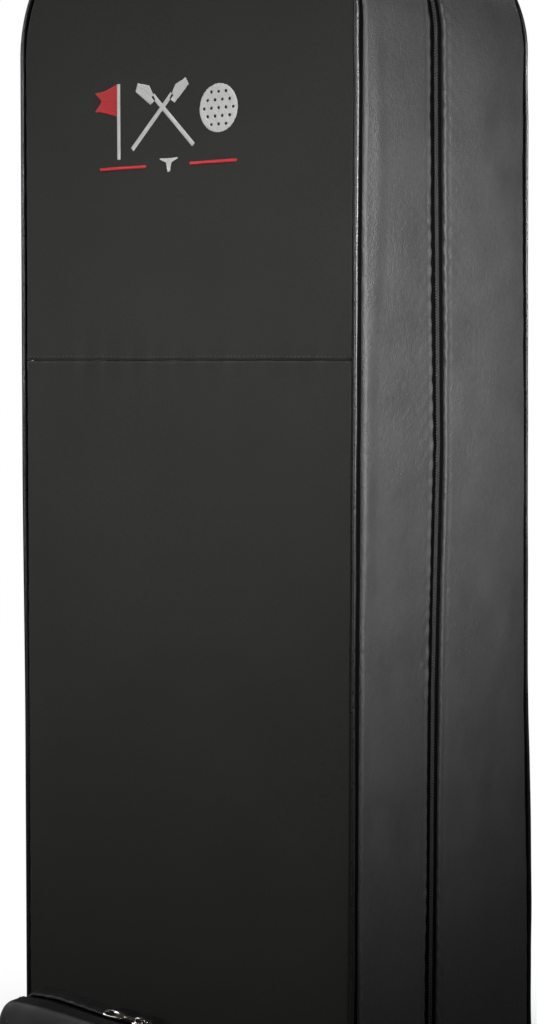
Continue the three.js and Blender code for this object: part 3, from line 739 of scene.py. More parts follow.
def standing_crease(run, z, from_piping):
    """The front gusset stands up in a long soft fold beside its piping, on the upper right side."""
    fold_at = (13 + 6 * wander(run, 160 * MM, 5)[:, None]) * MM
    ends = eased(np.clip((z - 0.62) / 0.16, 0, 1)) * eased(np.clip((1.22 - z) / 0.1, 0, 1))
    right_side = (run < arch_length(LID_BOTTOM) / 2)[:, None]
    return 1.3 * MM * ends * right_side * np.exp(-(((from_piping - fold_at) / (9 * MM)) ** 2))


def strip_shares(width, fine=0.7 * MM, coarse=3.2 * MM):
    """Shares of a strip's width, close together at its two edges."""
    edge = np.cumsum(np.concatenate([[0], np.geomspace(fine, coarse, 9)]))
    middle = np.arange(edge[-1] + coarse, width - edge[-1] - coarse / 2, coarse)
    return np.concatenate([edge, middle, width - edge[::-1]]) / width


def make_gusset(which, bottom):
    run = arch_steps(bottom)
    share = strip_shares(strip_width(which))[None, :]
    outside, outward = gusset_surface(which, run, share, bottom)
    x, z = (a[:, None] for a in arch_at(run, bottom)[:2])
    begin, end = strip_edges(which, x, z)
    inside = np.stack(np.broadcast_arrays(x, begin + (end - begin) * share, z), -1) - SHELL * outward
    piece = shell(f"{which}_gusset_cloth", outside, inside, GUSSET_NYLON, LINING)
    stand_in(piece, f"{which}_gusset", BODIES[which])


make_gusset("front", LID_BOTTOM)
make_gusset("rear", REAR_BOTTOM)


# %% The hem's stitches
def hem_stitches(which, bottom):
    run = arch_steps(bottom, 2 * MM)
    share = np.array([[1 - HEM_STITCH / strip_width(which)]])
    line, outward = gusset_surface(which, run, share, bottom)
    piece = stitch_rows(f"{which}_hem_stitches", [line[:, 0]], [outward[:, 0]])
    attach(piece, BODIES[which])


hem_stitches("front", LID_BOTTOM)
hem_stitches("rear", REAR_BOTTOM)

# %% [markdown]
# ## Piping
#
# Piping is a cord inside a folded strip of vinyl, sewn into the edge where two panels meet. It keeps the
# edge crisp, and its round back draws one bright line down the case. A round section carried along the arch
# makes it, and it wavers a little where the seam pulls.

# %% Front and rear piping
def make_piping(which, bottom):
    run = arch_steps(bottom, 4 * MM)
    x, z, outward = arch_frame(run, bottom)
    radius, inset = 2.1 * MM, 1.5 * MM - left_bulge(x, z)
    waver = 0.35 * MM * wander(run, 45 * MM, 51)
    y = FRONT + 1.0 * MM + waver if which == "front" else back_edge(z) - 1.6 * MM + waver
    centres = np.stack([x, y, z], -1) - (inset - waver)[:, None] * outward
    piece = tube(f"{which}_piping_cord", centres, ACROSS, outward, round_section(radius), PIPING_VINYL)
    stand_in(piece, f"{which}_piping", BODIES[which])
    print(piece.name, "is", round(2 * radius / MM, 1), "mm thick")


def make_painted_shade_flange(which, bottom):
    """The piping's own edge strip, down in the groove beside the cord; its near-black finish is painted shade
    of the groove.
    """
    run = arch_steps(bottom, 6 * MM)
    x, z, outward = arch_frame(run, bottom)
    y = FRONT + 5.4 * MM + 0 * z if which == "front" else back_edge(z) - 5.4 * MM
    centres = np.stack([x, y, z], -1) - (2.3 * MM - left_bulge(x, z))[:, None] * outward
    piece = tube(f"{which}_piping_painted_shade_flange", centres, ACROSS, outward, flat_section(9.6 * MM, 0.8 * MM), TAPE_WITH_PAINTED_SHADE)
    stand_in(piece, None, BODIES[which])


for which, bottom in (("front", LID_BOTTOM), ("rear", REAR_BOTTOM)):
    make_piping(which, bottom)
    make_painted_shade_flange(which, bottom)

# %% [markdown]
# ## The main zip
#
# A coil zip is two knitted tapes, each with a row of bent nylon loops sewn to its edge. The loops of the two
# rows hook into each other. From outside one sees a ribbed band in the gap between the hems, with dark tape
# on both sides of it. Each loop is one bead across the tape, and the two rows are half a step apart.

# %% Tapes and teeth
TOOTH_STEP = 2.4 * MM
TAPE_DEPTH, TEETH_DEPTH = 3.4 * MM, 1.9 * MM


def make_main_zip(which):
    sign = -1 if which == "front" else 1
    x, z, outward = arch_frame(arch_steps(LID_BOTTOM, 6 * MM), LID_BOTTOM)
    middle = np.stack([x, zip_at(x, z) + sign * 10.3 * MM, z], -1) - TAPE_DEPTH * outward
    # The tape's near-black finish includes painted shade of its recess between the hems.
    tape = tube(f"{which}_tape", middle, ACROSS, outward, flat_section(19.4 * MM, 1.0 * MM), TAPE_WITH_PAINTED_SHADE)
    stand_in(tape, f"{which}_zip_tape", BODIES[which])
    at = np.arange(MM * (2 + sign * 0.6), arch_length(LID_BOTTOM) - MM, TOOTH_STEP)
    x, z, outward = arch_frame(at, LID_BOTTOM)
    places = np.stack([x, zip_at(x, z) + sign * 1.45 * MM, z], -1) - TEETH_DEPTH * outward
    teeth = lay_beads(f"{which}_teeth", places, ACROSS, outward, (2.9 * MM, 1.9 * MM, 1.7 * MM), ZIP_TEETH)
    stand_in(teeth, f"{which}_zip_teeth", BODIES[which])
    print(teeth.name, len(at), "teeth")


make_main_zip("front")
make_main_zip("rear")

# %% [markdown]
# ## The front and back panels
#
# The front is two panels sewn together across the case, with the padded crown above the seam. The seam
# gathers the cloth into soft puckers, about one a thumb's width. Each panel is a grid whose columns follow
# the leaning sides and whose rows follow the crown's curve, closer together where the cloth bends most.

# %% A panel's surface
PANEL_INSET = 3.4 * MM
PUCKER = 31 * MM


def panel_half_width(z):
    turn = np.arcsin(np.clip((z - CROWN_START) / (CROWN_RADIUS - PANEL_INSET), 0, 1))
    crown = CROWN_CENTRE + (CROWN_RADIUS - PANEL_INSET) * np.cos(turn)
    return np.where(z < CROWN_START, half_width(z) - PANEL_INSET, crown)


def edge_distance(x, z):
    """How far a place on a panel is from the panel's outer edge."""
    beside = panel_half_width(z) - np.abs(x)
    reach = CROWN_RADIUS - PANEL_INSET
    corner = reach - np.hypot(np.abs(x) - CROWN_CENTRE, z - CROWN_START)
    above = TOP - PANEL_INSET - z
    in_corner = (np.abs(x) > CROWN_CENTRE) & (z > CROWN_START)
    return np.clip(np.where(in_corner, corner, np.minimum(beside, above)), 0, None)


def panel_heights(bottom, top):
    """Rows from bottom to top: close together at both ends and by equal angles round the crown."""
    if top < CROWN_START:
        return bottom + (top - bottom) * strip_shares(top - bottom, 0.8 * MM, 5 * MM)
    straight = bottom + (CROWN_START - bottom) * strip_shares(CROWN_START - bottom, 0.8 * MM, 5 * MM)
    turn = np.linspace(0, math.pi / 2, 46)[1:]
    return np.concatenate([straight, CROWN_START + (CROWN_RADIUS - PANEL_INSET) * np.sin(turn)])


def panel_lift(x, z, seed):
    edge = np.minimum(edge_distance(x, z), np.abs(z - LID_BOTTOM))
    lift = 1.4 * MM * (1 - np.exp(-edge / (14 * MM))) - rolled(edge, 2.6 * MM)
    lift = lift + 1.1 * MM * rumple(x, z, 110 * MM, 170 * MM, seed) * np.clip(edge / (20 * MM), 0, 1)
    ripples = np.sin(2 * math.pi * z / (27 * MM) + 2.5 * rumple(x, z, 200 * MM, 60 * MM, seed + 1))
    return lift + 0.22 * MM * np.exp(-edge / (9 * MM)) * ripples


def seam_lift(x, z):
    """The cross seam pulls the cloth in, and gathers it into puckers above and below."""
    off = np.abs(z - SEAM)
    along = x[0] if x.ndim > 1 else x
    hand = 0.65 + 0.35 * wander(along, 40 * MM, 71)
    sway = 1.6 * wander(along, 55 * MM, 72)
    large = np.sin(2 * math.pi * x / PUCKER + sway) * np.exp(-off / (13 * MM))
    small = np.sin(2 * math.pi * x / (PUCKER * 0.37) + 2 * sway) * np.exp(-off / (6 * MM))
    return 1.7 * MM * hand * large + 0.5 * MM * small - rolled(off, 2.4 * MM)


# %% Making the panels
def make_panel(name, replaced, which, bottom, top, seed):
    side = -1 if which == "front" else 1
    z = panel_heights(bottom, top)[:, None]
    share = strip_shares(2 * float(panel_half_width(z).max()), 0.8 * MM, 4.5 * MM)[None, :] * 2 - 1
    x = share * panel_half_width(z)
    lift = panel_lift(x, z, seed) + (seam_lift(x, z) if which == "front" else 0)
    rim = (np.abs(x) / panel_half_width(z)) ** 6
    plane = FRONT if which == "front" else back_at(z) + (back_edge(z) - back_at(z)) * rim
    outside = np.stack(np.broadcast_arrays(x, plane + side * lift, z), -1)
    inside = np.stack(np.broadcast_arrays(x, plane - side * SHELL, z), -1)
    piece = shell(name, outside, inside, PANEL_CLOTH, LINING)
    stand_in(piece, replaced, BODIES[which])


FRONT_SEED, BACK_SEED = 81, 91
crown_edge = TOP - PANEL_INSET
make_panel("lower_front_cloth", "front_panel_lower", "front", LID_BOTTOM, SEAM - 0.2 * MM, FRONT_SEED)
make_panel("upper_front_cloth", "front_panel_upper", "front", SEAM + 0.2 * MM, crown_edge, FRONT_SEED)
make_panel("back_cloth", "back_panel", "rear", REAR_BOTTOM, crown_edge, BACK_SEED)


# %% The cross seam's stitches
def cross_stitches():
    half = float(panel_half_width(np.array([SEAM]))[0]) - 4 * MM
    x = np.linspace(-half, half, 400)
    z = SEAM + 3.4 * MM + 0.5 * MM * wander(x, 45 * MM, 73)
    lift = panel_lift(x, z, FRONT_SEED) + seam_lift(x, z)
    line = np.stack([x, FRONT - lift - 0.1 * MM, z], -1)
    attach(stitch_rows("cross_stitches", [line], [FORWARD], width=0.7 * MM), "front_cover")


cross_stitches()

# %% [markdown]
# ## The emblem
#
# An embroidered emblem is satin stitch: threads laid side by side across a shape, each a few millimetres
# long. A picture would be quicker, but threads stand up from the cloth and shine across their length. Here
# every shape is an outline of corners, and rows of beads fill it. A flag, crossed clubs and a ball on a
# tee line say golf and nothing else.

# %% Satin stitch
EMBLEM_X, EMBLEM_Z = -13 * MM, 1101 * MM


def crossings(outlines, v):
    """Where a row at height v crosses the outlines, in order."""
    found = []
    for outline in outlines:
        a, b = outline, np.roll(outline, -1, axis=0)
        cut = (a[:, 1] <= v) != (b[:, 1] <= v)
        a, b = a[cut], b[cut]
        found.extend(a[:, 0] + (v - a[:, 1]) / (b[:, 1] - a[:, 1]) * (b[:, 0] - a[:, 0]))
    return sorted(found)


def satin(name, outlines, angle, finish, row=0.62, longest=6.0):
    """Fills outlines, in millimetres about the emblem's middle, with thread at an angle in degrees."""
    turn = math.radians(angle)
    direction = np.array([math.cos(turn), math.sin(turn)])
    turned = [np.asarray(o, float) @ np.array([direction, [-direction[1], direction[0]]]).T for o in outlines]
    low, high = min(o[:, 1].min() for o in turned), max(o[:, 1].max() for o in turned)
    spans = []
    for k, v in enumerate(np.arange(low + row / 2, high, row)):
        found = crossings(turned, v)
        for start, stop in zip(found[::2], found[1::2]):
            parts = max(1, round((stop - start) / longest))
            shift = 0.5 * (stop - start) / parts if k % 2 and parts > 1 else 0
            ends = np.clip(np.linspace(start, stop, parts + 1) + shift, start, stop)
            ends = np.unique(np.concatenate([[start], ends]))
            spans += [((p + q) / 2, v, q - p) for p, q in zip(ends, ends[1:]) if q - p > 0.5]
    spans = np.array(spans)
    flat = (spans[:, :1] * direction + spans[:, 1:2] * [-direction[1], direction[0]]) * MM
    x, z = EMBLEM_X + flat[:, 0], EMBLEM_Z + flat[:, 1]
    places = np.stack([x, FRONT - panel_lift(x, z, FRONT_SEED) - 0.5 * MM, z], -1)
    width = np.full(len(spans), 0.9 * MM)
    sizes = np.stack([spans[:, 2] * MM + 0.5 * MM, width, width], -1)
    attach(lay_beads(name, places, [direction[0], 0, direction[1]], FORWARD, sizes, finish), "front_cover")
    print(name, len(spans), "threads")


def disc(x, z, radius, sides=28):
    angle = np.linspace(0, 2 * math.pi, sides, endpoint=False)
    return np.stack([x + radius * np.cos(angle), z + radius * np.sin(angle)], -1)


def bar(start, stop, half):
    """A straight bar's outline."""
    start, stop = np.array(start, float), np.array(stop, float)
    side = np.array([start[1] - stop[1], stop[0] - start[0]]) / np.hypot(*(stop - start)) * half
    return np.array([start - side, stop - side, stop + side, start + side])


# %% The emblem's shapes
BALL_X, BALL_Z, BALL_RADIUS = 58, 10, 21
dimples = [
    disc(BALL_X + 8 * (i + 0.5 * (j % 2)), BALL_Z + 7 * j, 1.5, 10)
    for i in range(-3, 3)
    for j in range(-2, 3)
    if math.hypot(8 * (i + 0.5 * (j % 2)), 7 * j) < BALL_RADIUS - 4
]
PENNANT = [(-58, 39), (-72, 34), (-84, 33), (-76, 25), (-84, 16), (-72, 14), (-58, 10)]
LEFT_HEAD = [(3, 22), (9, 18), (25, 33), (21, 39), (10, 34)]
RIGHT_HEAD = [(-13, 22), (-19, 18), (-36, 31), (-33, 38), (-20, 35)]
EMBLEM = [
    ("ball", [disc(BALL_X, BALL_Z, BALL_RADIUS), *dimples], 20, WHITE_THREAD),
    ("flagstick", [bar((-56, -28), (-56, 39), 1.8)], 0, WHITE_THREAD),
    ("pennant", [PENNANT], 100, RED_THREAD),
    ("club_left", [bar((-40, -20), (6, 26), 2.1), LEFT_HEAD], 135, WHITE_THREAD),
    ("club_right", [bar((30, -20), (-16, 26), 2.1), RIGHT_HEAD], 45, WHITE_THREAD),
    ("lines", [bar((-78, -36), (-24, -36), 1.4), bar((26, -36), (78, -36), 1.4)], 90, RED_THREAD),
    ("tee", [[(-9, -30), (13, -30), (5, -34), (3.2, -42), (0.8, -42), (-1, -34)]], 90, WHITE_THREAD),
]
for name, outlines, angle, finish in EMBLEM:
    satin(f"emblem_{name}", outlines, angle, finish)

# %% [markdown]
# ## The shoe pocket
#
# The pocket is a small bag on the lid: a collar sewn to the panel, and a tray that a zip joins to it and
# that folds down about its bottom edge. It is the same coated cloth as the gussets, but blacker and
# glossier. Both halves follow one rounded outline, and one function makes them sag the same way, so they
# still meet at the zip.

# %% The pocket's outline and its sag
POCKET_BACK, POCKET_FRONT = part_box("pocket_collar")[1].y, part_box("pocket_front")[0].y
POCKET_HALF, POCKET_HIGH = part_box("pocket_front")[1].x + 4 * MM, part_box("pocket_front")[1].z
POCKET_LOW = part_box("pocket_front")[0].z
POCKET_MIDDLE = (POCKET_LOW + POCKET_HIGH) / 2
COLLAR_EDGE, TRAY_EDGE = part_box("pocket_collar")[0].y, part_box("pocket_front")[1].y
POCKET_ZIP = (COLLAR_EDGE + TRAY_EDGE) / 2
POCKET_EDGE, POCKET_WALL = 22 * MM, 4 * MM
LOW_CORNER, HIGH_CORNER = 28 * MM, 17 * MM
POCKET_FOLD_TOP = 170 * MM


def pocket_outline(step=3 * MM):
    """Points round the pocket from the bottom's middle, with their outward directions and the run to each."""
    x, z, out_x, out_z = [0], [POCKET_LOW], [0], [-1]
    for hand_x, hand_z, radius, start in (
        (1, -1, LOW_CORNER, -90), (1, 1, HIGH_CORNER, 0), (-1, 1, HIGH_CORNER, 90), (-1, -1, LOW_CORNER, 180)
    ):
        angle = np.radians(start + np.linspace(0, 90, 20))
        edge_z = POCKET_HIGH - radius if hand_z > 0 else POCKET_LOW + radius
        x.extend(hand_x * (POCKET_HALF - radius) + radius * np.cos(angle))
        z.extend(edge_z + radius * np.sin(angle))
        out_x.extend(np.cos(angle))
        out_z.extend(np.sin(angle))
    corners = np.array([x + [0], z + [POCKET_LOW], out_x + [0], out_z + [-1]])
    run = np.concatenate([[0], np.cumsum(np.hypot(*np.diff(corners[:2], axis=1)))])
    at = np.linspace(0, run[-1], round(run[-1] / step), endpoint=False)
    return (*(np.interp(at, run, row) for row in corners), at)


def sagged(points):
    """Moves points of the taut pocket to where its soft cloth would be."""
    x, y, z = np.moveaxis(points, -1, 0)
    high = eased(np.clip((z - POCKET_MIDDLE) / (POCKET_HIGH - POCKET_MIDDLE), 0, 1))
    forward = np.clip((POCKET_BACK - y) / (POCKET_BACK - POCKET_FRONT), 0, 1)
    top = np.interp(x / MM, [-174, -130, -73, -24, 50, 120, 174], [5.0, 7.0, 3.0, 2.5, 1.0, 3.0, 0.0]) * MM
    half_height = (POCKET_HIGH - POCKET_LOW) / 2
    round_x, round_z = 1 - (x / POCKET_HALF) ** 2, 1 - ((z - POCKET_MIDDLE) / half_height) ** 2
    belly = 4 * MM * forward**3 * np.clip(round_x * round_z, 0, 1)
    folds = 1.1 * MM * forward**2 * rumple(x, z - 0.35 * x, 38 * MM, 52 * MM, 101)
    folds = folds + 0.5 * MM * forward * rumple(x + z, z - x, 17 * MM, 40 * MM, 102)
    rim = np.clip((TRAY_EDGE - y) / (TRAY_EDGE - POCKET_FRONT), 0, 1)
    leaned = 30 * MM * eased(np.clip((z - 235 * MM) / (POCKET_HIGH - 235 * MM), 0, 1)) * rim
    slump = 1.5 * MM * forward * rumple(x, y, 60 * MM, 40 * MM, 103) * high
    return np.stack([x, y - belly - folds + leaned, z + top * high + slump], -1)


OUTLINE_X, OUTLINE_Z, OUTLINE_OUT_X, OUTLINE_OUT_Z, OUTLINE_RUN = pocket_outline()
print(f"the pocket is {OUTLINE_RUN[-1]:.2f} m round")


# %% The pocket's cloth
def pocket_cloth():
    finish, tree, shader = new_finish(
        "pocket_cloth", (0.02, 0.02, 0.021), 0.36, Specular_IOR_Level=0.55, Sheen_Weight=0.05
    )
    grain = speckle(tree, 1.0 * MM, 3.0)
    weave = combine(tree, "MULTIPLY", threads(tree, "X", 0.8 * MM), threads(tree, "Z", 0.8 * MM))
    cloud = spread(tree, speckle(tree, 30 * MM, 4.0), 0.0, 1.0)
    tint(tree, shader, cloud, (0.012, 0.012, 0.0125), (0.024, 0.024, 0.025))
    tree.links.new(spread(tree, grain, 0.32, 0.44), shader.inputs["Roughness"])
    relief(tree, shader, combine(tree, "ADD", grain, weave), 0.14 * MM, 0.8)
    return finish


POCKET_CLOTH = pocket_cloth()


def outline_ring(inset, y, scale=1.0):
    """One ring of the pocket. Its middle part is the same ring, drawn in towards the middle."""
    x, z = OUTLINE_X - inset * OUTLINE_OUT_X, OUTLINE_Z - inset * OUTLINE_OUT_Z
    return np.stack([x * scale, np.full_like(x, y), POCKET_MIDDLE + (z - POCKET_MIDDLE) * scale], -1)


def tray_rings(inset, corner, rim, front):
    """Rings from the tray's rim over its rounded edge to the middle of its front."""
    sides = [(inset, y, 1.0) for y in np.linspace(rim, front + corner, 12)]
    edge = [
        (inset + corner * (1 - math.cos(t)), front + corner * (1 - math.sin(t)), 1.0)
        for t in np.linspace(0, math.pi / 2, 9)[1:]
    ]
    face = [(inset + corner, front, scale) for scale in np.linspace(1, 0.02, 26)[1:]]
    return [outline_ring(*ring) for ring in [*sides, *edge, *face]]


def hem_lift(from_edge, run, seed):
    """The pucker and the roll of a hem beside a zip."""
    wave = np.sin(2 * math.pi * run / (13 * MM) + 2 * wander(run, 40 * MM, seed))
    return 0.35 * MM * np.exp(-from_edge / (8 * MM)) * wave - rolled(from_edge, 1.8 * MM)


def make_tray():
    outer = tray_rings(0, POCKET_EDGE, TRAY_EDGE, POCKET_FRONT)
    for ring in outer[:12]:
        lift = hem_lift(TRAY_EDGE - ring[0, 1], OUTLINE_RUN, 104)
        ring[:, 0] += lift * OUTLINE_OUT_X
        ring[:, 2] += lift * OUTLINE_OUT_Z
    inner = tray_rings(POCKET_WALL, POCKET_EDGE - POCKET_WALL, TRAY_EDGE, POCKET_FRONT + POCKET_WALL)
    rings = sagged(np.array(inner[::-1] + outer))
    piece = loft("pocket_tray_cloth", rings, POCKET_CLOTH, lining=LINING, lined_rows=len(inner))
    stand_in(piece, "pocket_front", "pocket_flap")
    print(piece.name, len(piece.data.vertices), "points")


def make_collar():
    back = POCKET_BACK + 0.6 * MM
    y = np.concatenate([[COLLAR_EDGE], COLLAR_EDGE + np.geomspace(0.6 * MM, back - COLLAR_EDGE, 9)])
    rings = []
    for inset, places in ((0, y), (POCKET_WALL * 0.6, y[::-1])):
        for place in places:
            ring, from_edge = outline_ring(inset, place), place - COLLAR_EDGE
            if not inset:
                flare = 1.5 * MM * eased(from_edge / (back - COLLAR_EDGE)) ** 3
                lift = hem_lift(from_edge, OUTLINE_RUN, 105) + flare
                ring[:, 0] += lift * OUTLINE_OUT_X
                ring[:, 2] += lift * OUTLINE_OUT_Z
            rings.append(ring)
    sections = np.swapaxes(sagged(np.array(rings)), 0, 1)
    piece = loft("pocket_collar_cloth", sections, POCKET_CLOTH, looped=True)
    stand_in(piece, "pocket_collar", "front_cover")


make_tray()
make_collar()


# %% The pocket's zip, fold and stitches
POCKET_TAPE = 14.4 * MM


def make_pocket_zip(which):
    sign, body = (1, "front_cover") if which == "rear" else (-1, "pocket_flap")
    zipped = OUTLINE_Z > POCKET_FOLD_TOP
    x, z, out_x, out_z = (a[zipped] for a in (OUTLINE_X, OUTLINE_Z, OUTLINE_OUT_X, OUTLINE_OUT_Z))
    outward = np.stack([out_x, 0 * x, out_z], -1)
    centres = np.stack([x, np.full_like(x, POCKET_ZIP + sign * 7.6 * MM), z], -1) - 4.6 * MM * outward
    section = flat_section(POCKET_TAPE, 0.9 * MM)
    # The tape's near-black finish includes painted shade of its recess.
    tape = tube(f"pocket_{which}_tape", sagged(centres), ACROSS, outward, section, TAPE_WITH_PAINTED_SHADE)
    stand_in(tape, None, body)
    run = np.concatenate([[0], np.cumsum(np.hypot(np.diff(x), np.diff(z)))])
    at = np.arange(MM * (2 + sign * 0.5), run[-1] - MM, 2.0 * MM)
    places = np.stack([np.interp(at, run, a) for a in (x, z, out_x, out_z)])
    outward = unit(np.stack([places[2], 0 * at, places[3]], -1))
    y = np.full_like(at, POCKET_ZIP + sign * 1.9 * MM)
    middle = sagged(np.stack([places[0], y, places[1]], -1) - 3.1 * MM * outward)
    size = (3.0 * MM, 1.5 * MM, 1.8 * MM)
    teeth = lay_beads(f"pocket_{which}_teeth", middle, ACROSS, outward, size, POCKET_TEETH)
    stand_in(teeth, f"pocket_zip_{which}", body)


def make_pocket_fold():
    """The strip of cloth at the pocket's bottom that the tray folds down about."""
    low = np.flatnonzero(OUTLINE_Z < POCKET_FOLD_TOP + MM)
    order = low[np.argsort((OUTLINE_RUN[low] + OUTLINE_RUN[-1] / 2) % OUTLINE_RUN[-1])]
    x, z, out_x, out_z = (a[order] for a in (OUTLINE_X, OUTLINE_Z, OUTLINE_OUT_X, OUTLINE_OUT_Z))
    outward = np.stack([out_x, 0 * x, out_z], -1)
    centres = np.stack([x, np.full_like(x, POCKET_ZIP), z], -1) - 1.6 * MM * outward
    strip = tube("pocket_fold", sagged(centres), ACROSS, outward, flat_section(17 * MM, 1.2 * MM), POCKET_CLOTH)
    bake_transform(strip)


def pocket_stitches():
    rows = [("collar", COLLAR_EDGE + 3.5 * MM, "front_cover"), ("tray", TRAY_EDGE - 3.5 * MM, "pocket_flap")]
    for name, y, body in rows:
        ring = outline_ring(-0.25 * MM, y)
        outward = np.stack([OUTLINE_OUT_X, 0 * OUTLINE_RUN, OUTLINE_OUT_Z], -1)
        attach(stitch_rows(f"pocket_{name}_stitches", [sagged(ring)], [outward], width=0.7 * MM), body)


make_pocket_zip("rear")
make_pocket_zip("front")
make_pocket_fold()
pocket_stitches()

# %% [markdown]
# ## The lid's hinge
#
# The lid has no metal hinge: a strip of webbing is stitched to the tub and to the lid, and bends between
# them. It is made as one flat piece that stays where it is made, and its stitch rows move with the tub and the
# lid.

# %% The hinge strip
def make_hinge_strip():
    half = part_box("hinge_strip")[1].x
    low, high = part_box("hinge_strip")[0].z, 98 * MM
    x = np.linspace(-half, half, 101)[None, :]
    z = np.linspace(low, high, 33)[:, None]
    wave = 0.25 * MM * rumple(x, z, 30 * MM, 25 * MM, 111)
    flat = np.broadcast_arrays(x, 0 * z, z)
    outside = np.stack([flat[0], FRONT - 2.6 * MM - wave, flat[2]], -1)
    inside = np.stack([flat[0], FRONT - 1.2 * MM - wave, flat[2]], -1)
    strip = shell("hinge_webbing", outside, inside, STRAP_WEBBING, STRAP_WEBBING)
    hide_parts("hinge_strip")
    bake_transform(strip)
    for name, rows, body in (("tub", (54, 74), "case_shell"), ("lid", (93, 96), "front_cover")):
        lines = [np.stack([x[0], np.full(101, FRONT - 2.9 * MM), np.full(101, r * MM)], -1) for r in rows]
        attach(stitch_rows(f"hinge_{name}_stitches", lines, [FORWARD] * 2), body)


make_hinge_strip()

# %% [markdown]
# ## Handles and straps
#
# Webbing is woven stiff, and keeps its width while it bends. Each length is a flat section with round edges,
# carried along a smooth line. Its ends are sewn down with a box and a cross. The two handles have a padded
# sleeve in the middle, blown up a little by a cloth simulation so that it swells between its seams.

# %% Smooth lines, and the padding's simulation
def smooth_line(points, count=120):
    """A Catmull-Rom line through points, mirrored about its last one, at even steps."""
    points = np.array(points, float)
    mirror = points[-2::-1] * [-1, 1]
    full = np.concatenate([points, mirror])
    full = np.concatenate([[2 * full[0] - full[1]], full, [2 * full[-1] - full[-2]]])
    pieces = []
    t = np.linspace(0, 1, 30, endpoint=False)[:, None]
    for a, b, c, d in zip(full, full[1:], full[2:], full[3:]):
        square, cube = 2 * a - 5 * b + 4 * c - d, 3 * b - a - 3 * c + d
        pieces.append(0.5 * (2 * b + (c - a) * t + square * t**2 + cube * t**3))
    line = np.concatenate([*pieces, full[-2:-1]])
    run = np.concatenate([[0], np.cumsum(np.hypot(*np.diff(line, axis=0).T))])
    at = np.linspace(0, run[-1], count)
    return np.stack([np.interp(at, run, line[:, k]) for k in range(2)], -1), run[-1]


def apply_modifier(piece, modifier):
    bpy.context.view_layer.objects.active = piece
    bpy.ops.object.modifier_apply(modifier=modifier.name)


def puffed(piece, cap, voxel=3.5 * MM, pressure=4.0, frames=20):
    """Swells a closed pad with Blender's cloth. No point moves more than cap."""
    remesh = piece.modifiers.new("even mesh", "REMESH")
    remesh.mode, remesh.voxel_size, remesh.use_smooth_shade = "VOXEL", voxel, True
    apply_modifier(piece, remesh)
    count = len(piece.data.vertices)
    before, after = np.empty(count * 3), np.empty(count * 3)
    piece.data.vertices.foreach_get("co", before)
    cloth = piece.modifiers.new("padding", "CLOTH")
    cloth.settings.use_pressure = True
    cloth.settings.uniform_pressure_force = pressure
    cloth.settings.effector_weights.gravity = 0
    for step in range(1, frames + 1):
        bpy.context.scene.frame_set(step)
    swollen = piece.evaluated_get(bpy.context.evaluated_depsgraph_get())
    swollen.data.vertices.foreach_get("co", after)
    piece.modifiers.remove(cloth)
    bpy.context.scene.frame_set(1)
    move = (after - before).reshape(-1, 3)
    distance = np.linalg.norm(move, axis=1, keepdims=True)
    move *= np.minimum(1, cap / np.maximum(distance, 1e-9))
    piece.data.vertices.foreach_set("co", (before.reshape(-1, 3) + move).ravel())
    print(f"{piece.name} swelled by up to {distance.max() * 1000:.1f} mm, held to {cap * 1000:.0f} mm")
    finer = piece.modifiers.new("finer", "SUBSURF")
    finer.levels = finer.render_levels = 1
    apply_modifier(piece, finer)
    return piece


# %% Handles
def make_handle(name, points, place):
    """place turns a point's distance along and out, and a distance across, into the case's frame."""
    line, length = smooth_line(np.array(points) * MM)
    tangent = unit(np.gradient(line, axis=0))
    normal = np.stack([-tangent[:, 1], tangent[:, 0]], -1)
    zero = np.zeros(len(line))
    centres = place(line[:, 0], line[:, 1], zero)
    outward = unit(place(line[:, 0] + normal[:, 0], line[:, 1] + normal[:, 1], zero) - centres)
    across = unit(place(line[:, 0], line[:, 1], zero + 1) - centres)
    web = tube(f"{name}_web", centres, across, outward, flat_section(36 * MM, 2.6 * MM), WEBBING)
    stand_in(web, f"{name}_webbing", "case_shell")
    first, last = round(0.29 * len(line)), round(0.71 * len(line))
    share = np.linspace(0, 1, last - first)
    swell = np.clip(np.sin(math.pi * share), 0, 1) ** 0.22
    section = flat_section(1.0, 0.24)
    sizes = np.stack([44 * MM * (0.9 + 0.1 * swell), 44 * MM * (0.55 + 0.45 * swell)], -1)
    rings = (
        centres[first:last, None]
        + (section[None, :, :1] * sizes[:, None, :1]) * across[first:last, None]
        + (section[None, :, 1:] * sizes[:, None, 1:]) * outward[first:last, None]
    )
    grip = puffed(loft(f"{name}_sleeve", rings, GRIP_CLOTH), 2.0 * MM)
    stand_in(grip, f"{name}_grip", "case_shell")
    sew_down(name, centres, across, outward)
    print(f"{name}: {length * 1000:.0f} mm of webbing")


def sew_down(name, centres, across, outward, half=15 * MM, reach=9):
    """A box and a cross of stitches at each end of a handle."""
    lines, ups = [], []
    for span in (range(1, reach + 1), range(len(centres) - reach - 1, len(centres) - 1)):
        span = np.array(span)
        top = centres[span] + 1.5 * MM * outward[span]
        side = across[span] * half
        sweep = np.linspace(-1, 1, len(span))[:, None]
        for line in (top + side, top - side, top + side * sweep, top - side * sweep):
            lines.append(line)
            ups.append(outward[span])
        for row in (0, -1):
            lines.append(top[row] + side[row] * np.linspace(-1, 1, 9)[:, None])
            ups.append(np.broadcast_to(outward[span[row]], (9, 3)))
    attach(stitch_rows(f"{name}_box_stitches", lines, ups), "case_shell")


def on_crown(along, out, across):
    return np.stack([along, 55 * MM + across, TOP + out], -1)


def on_left_side(along, out, across):
    z = 650 * MM + along
    return np.stack([-half_width(z) - out, 60 * MM + across, z], -1)


make_handle("haul_handle", [(-116, -6.2), (-94, 1.8), (-74, 6), (-44, 22), (0, 33)], on_crown)
make_handle("carry_handle", [(-122, 3.8), (-100, 4.0), (-80, 7), (-48, 24), (0, 34)], on_left_side)


